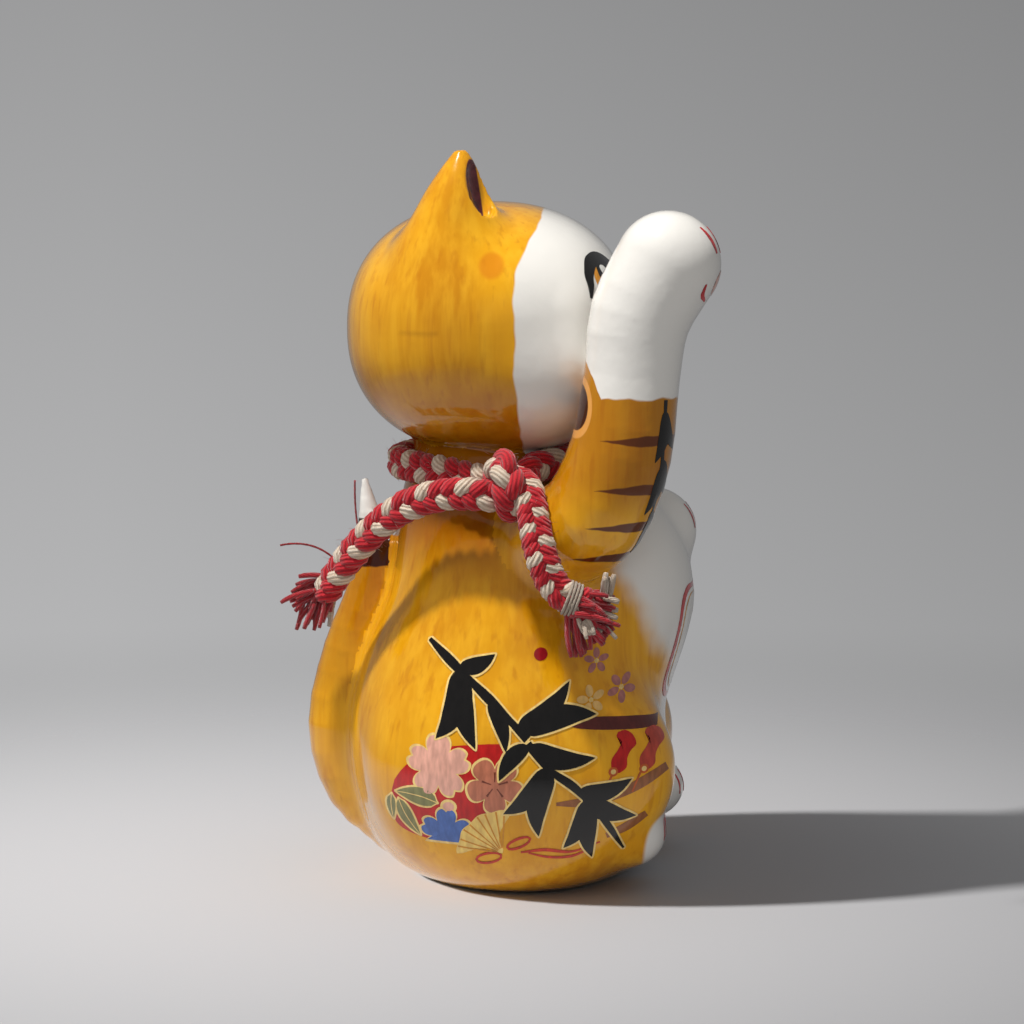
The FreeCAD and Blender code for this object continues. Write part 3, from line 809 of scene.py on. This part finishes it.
def front_fray():
    """The front end: a thick red tuft turned forward, cream yarns sticking up and out at its rim."""
    return frayed_end("rope_fray_front_yarns", ROPE_ROUTE[0], (
        (46, 0, (0, 3, -0.8), (1.6, 1, 1.6), (0, -1, -0.18), 0.36, (6, 8.6), (0.6, 0.85)),
        (16, 0, (0, 1, -2.4), (1.5, 1, 1.2), (-0.1, -0.7, -0.8), 0.36, (5, 7.5), (0.6, 0.8)),
        (16, 0, (0, 4.4, -2), (1.2, 0.9, 1), (0, -0.24, -1), 0.16, (9, 11), (0.6, 0.8), 0.1, 0.15),
        (6, 1, (0, -3.4, 1.6), (1.1, 0.8, 0.6), (-0.1, -0.25, 1), 0.22, (4.5, 6.2), (0.6, 0.75), -0.1, 0.15),
        (5, 1, (-0.6, -2.8, -0.6), (1.4, 0.6, 1.6), (0, -1, 0), 0.3, (2.8, 4), (0.6, 0.75)),
        (6, 1, (-2.6, 2.4, -3.2), (0.6, 1.4, 0.8), (-0.25, -0.4, -1), 0.4, (3, 4.6), (0.55, 0.7)),
        (5, 1, (-1.4, -0.6, -4.4), (0.8, 1.4, 0.7), (-0.1, -0.8, -0.6), 0.4, (3, 4.4), (0.55, 0.7))))


def whipping():
    """Thin cream thread wound round the front end."""
    middle, ahead = rope_line[8], unit(rope_line[13] - rope_line[3])
    side = unit(np.cross(ahead, (0, 0, 1)))
    other = np.cross(ahead, side)
    angle = np.linspace(0, 2 * np.pi * 4.2, 110)
    centres = (middle + ahead * (angle / angle[-1] - 0.5)[:, None] * 3.4
               + 3.95 * (np.cos(angle)[:, None] * side + np.sin(angle)[:, None] * other))
    _, first, second = frames_along(centres)
    along = np.linspace(0, 112, len(centres))
    rings = tube_rings(centres, first, second, np.full((len(centres), 6), 0.36))
    return build_tubes("rope_whipping_thread", [(rings, 0, along)], COTTONS[1:])


def loose_thread(name, route, node):
    line, at = evenly(spline_through(route), 0.7)
    _, first, second = frames_along(line)
    radii = 0.27 * (1 + 0.12 * np.sin(at * 3.3))[:, None] * np.ones((1, 6))
    made = build_tubes(name, [(tube_rings(line, first, second, radii), 0, at)], COTTONS[:1])
    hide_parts(node)
    return made


def fuzz():
    """Fine fibres that stand off the rope."""
    tubes = []
    tangent, across, up = frames_along(rope_line)
    for _ in range(420):
        index = rng.integers(4, len(rope_line) - 4)
        angle = rng.uniform(0, 2 * np.pi)
        outward = math.cos(angle) * across[index] + math.sin(angle) * up[index]
        start = rope_line[index] + outward * 3.5
        heading = outward + rng.normal(0, 0.8, 3)
        made, along = yarn(start, heading, rng.uniform(1.3, 2.8), 0.035, 0.2, 0.7, steps=5, sides=3)
        tubes.append((made, int(rng.random() < 0.35), along))
    return build_tubes("rope_fuzz", tubes, COTTONS)


rope = rope_strands()
rope_back, rope_front, rope_binding = back_fray(), front_fray(), whipping()
thread_up = loose_thread("rope_thread_up_yarn", [(-24.5, 37.3, 87.6), (-24.6, 38.2, 93), (-24.6, 38, 99.5)],
                         "rope_thread_up")
thread_out = loose_thread("rope_thread_out_yarn", [(-20.6, 43.2, 79.8), (-20.6, 48.6, 84.9),
                                                   (-20.6, 56.5, 83.2)], "rope_thread_out")
rope_fibres = fuzz()
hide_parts("rope_collar", "rope_knot", "rope_tail_back", "rope_tail_front")
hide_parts("rope_fray_back")
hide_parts("rope_fray_front")
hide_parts("rope_whipping")


# ---------------------------------------------------------------- painted marks
# Each mark is a thin closed skin of color on the glaze. It is drawn on a flat view of the cat, in
# millimetres, and laid on the surface along that view's direction: (origin, across, up, way in, surface).
def flat_view(origin, across, way, surface):
    return (*(np.array(vector, float) for vector in (origin, across, (0, 0, 1), way)), surface)


SIDE_VIEW = flat_view((-70, 0, -1), (0, 1, 0), (1, 0, 0), figure_tree)
FRONT_VIEW = flat_view((0, -70, 0), (1, 0, 0), (0, 1, 0), figure_tree)
FACE_VIEW = flat_view((0, -70, 0), (1, 0, 0), (0, 1, 0), head_tree)
ARM_VIEW = flat_view((-87.1, -65.2, -3.4), (0.6, -0.8, 0), (0.8, 0.6, 0), figure_tree)
SKIN_STEP, BRUSH_STEP = 1, 0.8            # between the rows of a filled shape, and along a stroke
LEAST_HEIGHT, SUNK = 0.05, 0.12           # a skin's least rise above the glaze, and its depth below it
VIEW_REACH, VIEW_MIDDLE = 75, 45          # how far a view looks, and where it looks if it misses
marks = {}


def lay_on_surface(flat, view):
    """Flat (across, up) points laid on the glaze, and the surface's normals there."""
    origin, across, up, way, surface = view
    found = []
    for a, b in flat:
        start = origin + a * across + b * up
        hit = surface.ray_cast(Vector(start), Vector(way), VIEW_REACH)[0]
        if hit is None:
            hit = surface.find_nearest(Vector(start + VIEW_MIDDLE * way))[0]
        found.append(hit[:])
    found = onto_surface(figure_field, np.array(found), 2)
    return found, unit(gradient(figure_field, found))


def skin(color, flat, rows, columns, closed, view, height):
    """A closed skin from a grid of flat points; a closed one runs round, from its middle outwards."""
    places, normals = lay_on_surface(flat, view)
    count = len(places)
    grid = np.arange(count).reshape(rows, columns)
    top = grid_quads(grid, closed)
    if closed:
        top.append(grid[0, ::-1].tolist())
    sample = top[columns // 3 if closed else 0]
    a, b, c = places[sample[:3]]
    flip = np.cross(b - a, c - a) @ normals[sample[0]] < 0
    faces = [face[::-1] if flip else face for face in top]
    bottom = [[v + count for v in face[::-1]] for face in faces]
    edges = {(face[i], face[(i + 1) % len(face)]) for face in faces for i in range(len(face))}
    walls = [[b, a, a + count, b + count] for a, b in edges if (b, a) not in edges]
    low, high = places - SUNK * normals, places + (height + LEAST_HEIGHT) * normals
    marks.setdefault(color, []).append((np.vstack((high, low)), faces + bottom + walls,
                                        np.vstack((normals, normals))))


def blob(color, outline, view=SIDE_VIEW, height=0.05, middle=None):
    """A filled shape that its middle sees all of."""
    outline = np.array(outline, float)
    middle = outline.mean(0) if middle is None else np.array(middle, float)
    reach = np.linalg.norm(outline - middle, axis=1).max()
    levels = np.linspace(0.04, 1, max(3, int(reach / SKIN_STEP) + 2))
    flat = np.vstack([middle + level * (outline - middle) for level in levels])
    skin(color, flat, len(levels), len(outline), True, view, height)


def stroke(color, route, widths, view=SIDE_VIEW, height=0.05, grow=0):
    """A brush stroke along a route; widths are spread evenly along it."""
    line = flat_line(route)
    along = np.linspace(0, 1, len(line))
    smooth = np.maximum(curve_through(np.array(widths)[:, None], 6)[:, 0], 0.05)
    half = np.interp(along, np.linspace(0, 1, len(smooth)), smooth) / 2 + grow
    tangent = unit(np.gradient(line, axis=0))
    if grow:
        line = np.vstack((line[0] - grow * tangent[0], line, line[-1] + grow * tangent[-1]))
        tangent = np.vstack((tangent[:1], tangent, tangent[-1:]))
        half = np.concatenate(([grow * 0.35], half, [grow * 0.35]))
    aside = np.stack((-tangent[:, 1], tangent[:, 0]), 1)
    columns = 3 if half.max() < 1.2 else 5
    across = np.linspace(-1, 1, columns)
    flat = (line[:, None] + across[None, :, None] * np.maximum(half, 0.03)[:, None, None] * aside[:, None])
    skin(color, flat.reshape(-1, 2), len(line), columns, False, view, height)


def flat_line(route):
    """Evenly spaced points along a smooth flat line."""
    return resampled(curve_through(route, 8), lambda length: max(4, int(length / BRUSH_STEP)))[0]


def closed_curve(corners, steps):
    return curve_through([*corners, corners[0]], steps)[:-1]


def oval(middle, half, tilt=0, count=28):
    angle = np.linspace(0, 2 * np.pi, count, endpoint=False)
    shape = np.stack((half[0] * np.cos(angle), half[1] * np.sin(angle)), 1)
    turn = math.radians(tilt)
    return np.array(middle) + shape @ np.array(((math.cos(turn), math.sin(turn)),
                                                (-math.sin(turn), math.cos(turn))))


def blossom(middle, radius, petals=5, notch=0, depth=0.32, turn=0, grow=0):
    """A flower's outline: rounded petals, each with a notch at its tip if wanted."""
    angle = np.linspace(0, 2 * np.pi, 90, endpoint=False)
    phase = (angle * petals / (2 * np.pi)) % 1 - 0.5
    size = 1 - depth * (np.abs(phase) * 2) ** 3.2 - notch * np.exp(-(phase / 0.07) ** 2)
    size = radius * size + grow
    return np.array(middle) + np.stack((size * np.cos(angle + turn), size * np.sin(angle + turn)), 1)


def leaf(start, end, width, bend=0.12):
    """The route and widths of one brushed leaf, broad near its stalk and pointed at its tip."""
    start, end = np.array(start, float), np.array(end, float)
    reach = end - start
    aside = np.array((-reach[1], reach[0])) * bend
    return ([start, start + 0.35 * reach + aside, start + 0.7 * reach + 0.8 * aside, end],
            [width * math.sin(math.pi * (step / 12) ** 0.72) ** 0.85 + 0.05 for step in range(12)] + [0.05])


def outlined(color, route, widths, rim, low, high):
    """A stroke on a wider one in cream, at the two heights."""
    stroke("outline_cream", route, widths, height=low, grow=rim)
    stroke(color, route, widths, height=high)


def haunch_marks():
    patch = [(27.8, 30.6), (25.6, 33.7), (21.6, 37.5), (17, 39.3), (10.7, 40.4), (1.9, 40.9), (0, 39.5),
             (-0.4, 33.9), (1.9, 30.8), (1.9, 24.5), (5, 21.9), (9, 20.7), (12.5, 17.4), (18, 16.6),
             (25.5, 18.2), (28.2, 21), (28.7, 26.3)]
    blob("patch_red", closed_curve(patch, 5), height=0.04, middle=(13, 29))
    for middle, radius, kind, notch, turn, lowest in (
            ((17, 35), 7.4, "pale_pink", 0.14, -90, 0), ((3.6, 31.2), 6.6, "brown_pink", 0, 90, 0),
            ((15.2, 18.8), 6.2, "leaf_blue", 0.14, 54, 16.6)):
        for color, grow, height in (("outline_cream", 0.6, 0.07), (kind, 0, 0.1)):
            outline = blossom(middle, radius, notch=notch, turn=math.radians(turn), grow=grow, depth=0.42)
            outline[:, 1] = np.maximum(outline[:, 1], lowest - grow)
            blob(color, outline, height=height, middle=middle)
    for spoke in range(5):
        turn = math.radians(90 + 72 * spoke)
        spokes = [(3.6 + out * math.cos(turn), 31.2 + out * math.sin(turn)) for out in (0.9, 2.2, 3.2)]
        stroke("brown_fine", spokes, [0.25, 0.3, 0.5], height=0.13)
    for start, end, width in (((17.4, 26.3), (27.4, 27.8), 4.2), ((26.8, 26), (21.6, 17.6), 3.2),
                              ((28.6, 26.8), (28.2, 20.6), 2.2)):
        route, widths = leaf(start, end, width, 0.05)
        outlined("olive", route, widths, 0.5, 0.07, 0.1)
        stroke("outline_cream", route, [0.22, 0.22, 0.15], height=0.125)
    blob("outline_cream", oval((14.6, 25.6), (2, 1.75)), height=0.07)
    blob("pale_pink", oval((14.6, 25.6), (1.35, 1.1)), height=0.1)
    pivot, reach = np.array((1.9, 14.4)), 10.8
    edge = [pivot + reach * np.array((math.cos(a), math.sin(a))) * (1 + 0.02 * math.cos(12 * a))
            for a in np.linspace(math.radians(100), math.radians(-4), 30)]
    blob("fan_cream", [pivot] + edge, height=0.11, middle=pivot + (3.4, 3.6))
    for share in np.linspace(0.08, 0.92, 8):
        tip = edge[int(share * (len(edge) - 1))]
        stroke("fan_rib", [pivot + s * (tip - pivot) for s in (0.12, 0.5, 0.98)], [0.18, 0.3, 0.42],
               height=0.135)
    for middle, half, tilt in (((-1.9, 17), (3, 1.1), -25), ((5.2, 12.9), (3.1, 1.3), -14)):
        ring = oval(middle, half, tilt, 24)
        stroke("cord_red", np.vstack((ring, ring[:2])), [0.5, 0.6, 0.5, 0.6, 0.5], height=0.15)
    stroke("cord_red", [(-2.4, 14.6), (-8, 15.2), (-14.4, 14.4), (-21, 16.4)], [0.4, 0.8, 0.5, 0.3],
           height=0.12)
    stroke("cord_red", [(-4.2, 14.4), (-9, 13.2), (-14.5, 13.2), (-19.5, 15.4)], [0.3, 0.6, 0.6, 0.3],
           height=0.125)
    stroke("stripe_maroon", [(-11.5, 45.6), (-20, 45), (-28, 44.4), (-34.6, 43.8)],
           [0.5, 2.4, 2.9, 2.9, 2.8, 2.2], height=0.04)
    stroke("stripe_brown", [(-10.8, 26.6), (-18, 26.9), (-27, 28.8), (-36.9, 33.2)],
           [0.8, 2.1, 2.4, 2.4, 2.5, 2], height=0.04)
    stroke("stripe_brown", [(-22.5, 17.9), (-27, 19.6), (-32, 22.4)], [1.4, 2.1, 2.2, 1.6], height=0.04)
    for shift, color in ((0, "patch_red"), (-6.7, "faded_red")):
        shape = np.array([(-25.2, 42.6), (-26.8, 42.9), (-28.6, 41.8), (-29.5, 39.6), (-28.2, 38.2),
                          (-27.4, 36.6), (-27.2, 34.4), (-25.4, 33.2), (-23.9, 33.9), (-23.7, 36.4),
                          (-25.2, 38.6), (-26, 40.4), (-24.9, 41.6)]) + (shift, 0)
        blob(color, closed_curve(shape, 4), height=0.06, middle=(-26.4 + shift, 38.4))
        blob("cord_orange", oval((-24.1 + shift * 1.08, 33.6), (1.1, 1.1)), height=0.08)
        blob("outline_cream", oval((-24.1 + shift * 1.08, 33.6), (0.6, 0.6)), height=0.1)
        stroke("cord_orange", [(-23.8 + shift, 32.8), (-22.8 + shift, 30.6), (-21.9 + shift, 28.4)],
               [0.5, 0.4, 0.5], height=0.07)
    for middle, radius, color, turn in (((-20, 58.6), 3, "mauve", 0.3), ((-25.9, 52.2), 3.4, "mauve", 0.9),
                                        ((-18.8, 50.2), 3.4, "pale_cream", 0.1)):
        for petal in range(5):
            angle = turn + 2 * math.pi * petal / 5
            at = np.array(middle) + 0.6 * radius * np.array((math.cos(angle), math.sin(angle)))
            blob(color, oval(at, (0.4 * radius, 0.25 * radius), math.degrees(angle), 18), height=0.05)
            blob("outline_cream", oval(np.array(middle) + 0.16 * (at - middle), (0.26, 0.26), 0, 10),
                 height=0.075)
    blob("dot_red", oval((-6.9, 61), (1.6, 1.5)), height=0.05)


def bamboo_marks():
    """A bold brushed spray of bamboo leaves in ink, in place of lettering."""
    for route, widths in (
            ([(19.5, 63.5), (12, 57), (3.5, 49.5), (-4, 42)], [1, 2.3, 1.7, 2.3, 1.6, 2.1]),
            ([(-4, 41), (-9, 35), (-15.5, 30), (-22, 22), (-26.5, 14)],
             [2, 1.5, 2, 1.3, 1.6, 0.5])):
        outlined("ink", route, widths, 0.45, 0.15, 0.2)
    for start, end, width, bend in (
            ((12.6, 57.4), (17.6, 41.5), 6.2, -0.14), ((11.4, 56), (8.2, 39.6), 5.4, 0.08),
            ((12.4, 57.8), (3.8, 61), 3.8, 0.1), ((5.2, 50.6), (1, 39), 3.6, -0.08),
            ((-1.6, 45), (-13.6, 54.6), 4.8, 0.12), ((-3, 43.4), (-20, 47), 5.8, -0.1),
            ((-4.6, 40.8), (-19.8, 37.2), 5, 0.12), ((-4.4, 40.6), (2.6, 32.4), 4, 0.1),
            ((-8.6, 35.6), (1.6, 24.4), 5.4, -0.12), ((-9.8, 34.4), (-6.6, 18.8), 5.4, 0.12),
            ((-15.8, 29.6), (-28.4, 31.6), 4.4, 0.12), ((-17, 28.4), (-29.4, 22.4), 4.8, 0.1),
            ((-17.6, 27.4), (-12.4, 15.6), 4.6, -0.12), ((-19.4, 25.4), (-19, 12.6), 4.4, 0.1)):
        outlined("ink", *leaf(start, end, width, bend), 0.5, 0.16, 0.21)


def face_marks():
    for side in (-1, 1):
        blob("plain_white", oval((side * 19, 146.6), (7, 5.5), side * -4, 36), FACE_VIEW, 0.05)
        blob("eye_gold", oval((side * 19.1, 146.6), (6.3, 5), side * -4, 36), FACE_VIEW, 0.1)
        blob("ink", oval((side * 18.8, 147.6), (4.5, 4.6), 0, 30), FACE_VIEW, 0.16)
        blob("plain_white", oval((side * 18.8 - 1.4, 149.4), (1.3, 1.4), 0, 18), FACE_VIEW, 0.22)
        blob("plain_white", oval((side * 18.8 + 1.8, 145.4), (0.6, 0.6), 0, 14), FACE_VIEW, 0.22)
        stroke("ink", [(side * 11.2, 144.4), (side * 12.6, 149), (side * 17, 152.4), (side * 22.4, 151.8),
                       (side * 26.2, 148.8), (side * 27.6, 146), (side * 28.8, 143.4)],
               [0.5, 1.3, 2, 2.5, 2.5, 2.1, 1.6, 0.4], FACE_VIEW, 0.19)
        stroke("mouth_red", [(0, 124.6), (side * 2.6, 121.6), (side * 6.4, 121.4), (side * 8.6, 124)],
               [0.8, 0.8, 0.7, 0.3], FACE_VIEW, 0.1)
        for number, (rise, reach) in enumerate(((3.2, 27), (0, 27.6), (-3.2, 26.6))):
            stroke("ink", [(side * 17, 127 + 0.6 * rise), (side * 22, 127.4 + 1.1 * rise),
                           (side * reach, 127 + 1.6 * rise)], [0.15, 0.45, 0.4, 0.1], FACE_VIEW, 0.08)
        blob("cheek_pink", oval((side * 24.5, 136.6), (3.6, 2.4), 0, 26), FACE_VIEW, 0.05)
    nose = [(0, 127), (2.3, 129.6), (2, 131.2), (0, 130.9), (-2, 131.2), (-2.3, 129.6)]
    blob("mouth_red", closed_curve(nose, 4), FACE_VIEW, 0.12, middle=(0, 129.8))
    stroke("mouth_red", [(0, 127.4), (0, 126), (0, 124.6)], [0.5, 0.6, 0.6], FACE_VIEW, 0.1)


def chest_marks():
    """A plain panel with a red edge on the chest, with no lettering in it."""
    corner = []
    for sx, sz, start in ((1, 1, 0), (-1, 1, 90), (-1, -1, 180), (1, -1, 270)):
        for angle in range(start, start + 91, 18):
            corner.append((2 + sx * 9.5 + 5 * math.cos(math.radians(angle)),
                           58.5 + sz * 9 + 5 * math.sin(math.radians(angle))))
    corner = np.array(corner)
    middle = np.array((2, 58.5))
    dense = np.vstack([corner[i] + (corner[(i + 1) % len(corner)] - corner[i]) * share
                       for i in range(len(corner)) for share in (0, 0.25, 0.5, 0.75)])
    for color, share, height in (("mouth_red", 1, 0.1), ("plain_white", 0.91, 0.16),
                                 ("fan_rib", 0.84, 0.22), ("plain_white", 0.81, 0.28)):
        blob(color, middle + share * (dense - middle), FRONT_VIEW, height, middle)
    for shift in (-5, 0, 5):
        blob("mauve", blossom((2, 58.5 + shift * 1.3), 2, turn=math.pi / 2), FRONT_VIEW, 0.34)


def paw_marks():
    for across in (-43.8, -39, -34.4):
        stroke("mouth_red", [(across - 0.3, 160.6), (across, 157.6), (across + 0.2, 154.6)],
               [0.4, 1.2, 1.2, 0.6], FRONT_VIEW, 0.08)
    stroke("mouth_red", [(-46.6, 147.6), (-45.8, 145), (-43.4, 143.6)], [0.4, 0.9, 0.4], FRONT_VIEW, 0.08)
    blob("cheek_pink", oval((-39.2, 147.6), (4, 3), 0, 26), FRONT_VIEW, 0.06)
    for across in (5, 9.5, 13.6):
        stroke("mouth_red", [(across, 90.6), (across + 0.2, 87.6), (across + 0.2, 84.6)], [0.3, 0.8, 0.4],
               FRONT_VIEW, 0.08)
    for side, middle, level in ((-1, -22, 15), (1, 23, 17)):
        for across in (-3.4, 0.4, 4.2):
            stroke("mouth_red", [(middle + across, level + 3), (middle + across, level),
                                 (middle + across, level - 2.6)], [0.3, 0.7, 0.3], FRONT_VIEW, 0.08)
    for start, end, width, bend in (
            ((0, 122), (4.6, 112.6), 3.4, -0.1), ((0, 121.4), (-2.4, 110), 3.8, 0.1),
            ((0.4, 110.6), (5.4, 101.6), 3.4, -0.1), ((0.2, 109), (-2.8, 97.6), 4, 0.1),
            ((0.4, 98.6), (4.6, 89), 3.2, -0.1), ((0.4, 97), (-2, 88), 3, 0.1)):
        stroke("ink", *leaf(start, end, width, bend), ARM_VIEW, 0.1)
    stroke("ink", [(0.2, 124.4), (0, 112), (0.4, 99), (0.8, 92)], [1.1, 0.8, 1.2, 0.8, 0.5], ARM_VIEW, 0.09)


MARK_COLORS = {
    "ink": INK, "outline_cream": CREAM, "patch_red": (186, 24, 22), "faded_red": (184, 66, 48),
    "pale_pink": (226, 168, 148), "brown_pink": (186, 112, 84), "leaf_blue": (76, 108, 176),
    "olive": (126, 124, 78), "fan_cream": (246, 204, 112), "fan_rib": (214, 142, 40),
    "cord_red": (200, 52, 28), "cord_orange": (196, 92, 40), "stripe_maroon": (88, 32, 26),
    "stripe_brown": (150, 92, 52), "mauve": (176, 112, 106), "pale_cream": (228, 184, 110),
    "dot_red": (150, 24, 32), "brown_fine": (112, 52, 34), "eye_gold": (226, 150, 40),
    "plain_white": (240, 238, 232), "mouth_red": (196, 40, 44), "cheek_pink": (238, 176, 160),
}
haunch_marks()
bamboo_marks()
face_marks()
chest_marks()
paw_marks()
for color_name, skins in marks.items():
    shift, all_places, all_faces, all_normals = 0, [], [], []
    for places, faces, normals in skins:
        all_places.append(places)
        all_normals.append(normals)
        all_faces += [[index + shift for index in face] for face in faces]
        shift += len(places)
    mark_color = MARK_COLORS[color_name]
    glazed_piece("painted_" + color_name, np.vstack(all_places), all_faces, np.vstack(all_normals),
                 flat_glaze("glaze_" + color_name, mark_color, 0.02 if min(mark_color) > 200 else 0.07),
                 "white_glaze")


# ---------------------------------------------------------------- floor and light
def floor():
    """A pale table top that fades into the backdrop well behind the figure."""
    disc = bmesh.new()
    bmesh.ops.create_circle(disc, cap_ends=True, segments=96, radius=2.4)
    mesh = bpy.data.meshes.new("floor")
    disc.to_mesh(mesh)
    disc.free()
    paint = Paint("table_top")
    mesh.materials.append(paint.finish((190, 190, 193), 0.85))
    nodes = paint.tree.nodes
    away = vector_math("LENGTH", paint.place, output=1).remap(0.06, 0.34, ease="SMOOTHSTEP")
    blend = add_node(paint.tree, "ShaderNodeMixShader", [
        away, Formula(paint.tree, nodes["Principled BSDF"].outputs[0]),
        add_node(paint.tree, "ShaderNodeBsdfTransparent")])
    feed(paint.tree, nodes["Material Output"].inputs["Surface"], blend)
    obj = add_object("floor", mesh)
    obj.location = (0, 0, -0.0001)
    return obj


def area_light(name, place, size, watts, link="EXCLUDE", mirrored=False):
    """A round lamp aimed at the figure. The table has a lamp of its own, and is left out of the others."""
    data = bpy.data.lights.new(name, "AREA")
    data.shape, data.size, data.energy, data.color = "DISK", size, watts, (1, 0.985, 0.96)
    obj = add_object(name, data)
    obj.location = place
    obj.visible_glossy = mirrored
    obj.rotation_euler = (Vector(place) - Vector((0, 0, 0.09))).to_track_quat("Z", "Y").to_euler()
    lit = bpy.data.collections.new(name + "_lights")
    lit.objects.link(table)
    lit.collection_objects[0].light_linking.link_state = link
    obj.light_linking.receiver_collection = lit


def backdrop():
    """A plain grey studio. Seen, it is brighter towards the floor and the left; unseen, it is even."""
    world = bpy.data.worlds.new("studio")
    world.use_nodes = True
    tree = world.node_tree
    _, turn, rise = split(add_node(tree, "ShaderNodeTexCoord"))
    ramp = add_node(tree, "ShaderNodeValToRGB", [rise.remap(-0.24, 0.04)])
    stops = ramp.socket.node.color_ramp.elements
    stops.new(0.3)
    for stop, place, value in zip(stops, (0, 0.3, 1), (0.56, 0.74, 0.53)):
        stop.position, stop.color = place, (value, value, value, 1)
    seen = add_node(tree, "ShaderNodeLightPath", output="Is Camera Ray")
    shown = ramp * turn.remap(-0.16, 0.16, 0.78, 1.12)
    strength = add_node(tree, "ShaderNodeMix", [seen, None, 0.37, shown])
    ground = tree.nodes["Background"].inputs
    ground["Color"].default_value = rgba((196, 196, 197))
    feed(tree, ground["Strength"], strength)
    bpy.context.scene.world = world


table = floor()
backdrop()
area_light("key", (-0.26, 0.3, 1.09), 0.09, 12.4, mirrored=True)
area_light("left", (-0.12, 1.1, 0.42), 0.12, 2.2)
area_light("fill", (-1, -0.25, 0.45), 0.7, 1.9)
area_light("table_lamp", (-0.22, 1.08, 0.66), 0.1, 30, link="INCLUDE", mirrored=True)
bpy.context.scene.view_settings.view_transform = "Standard"
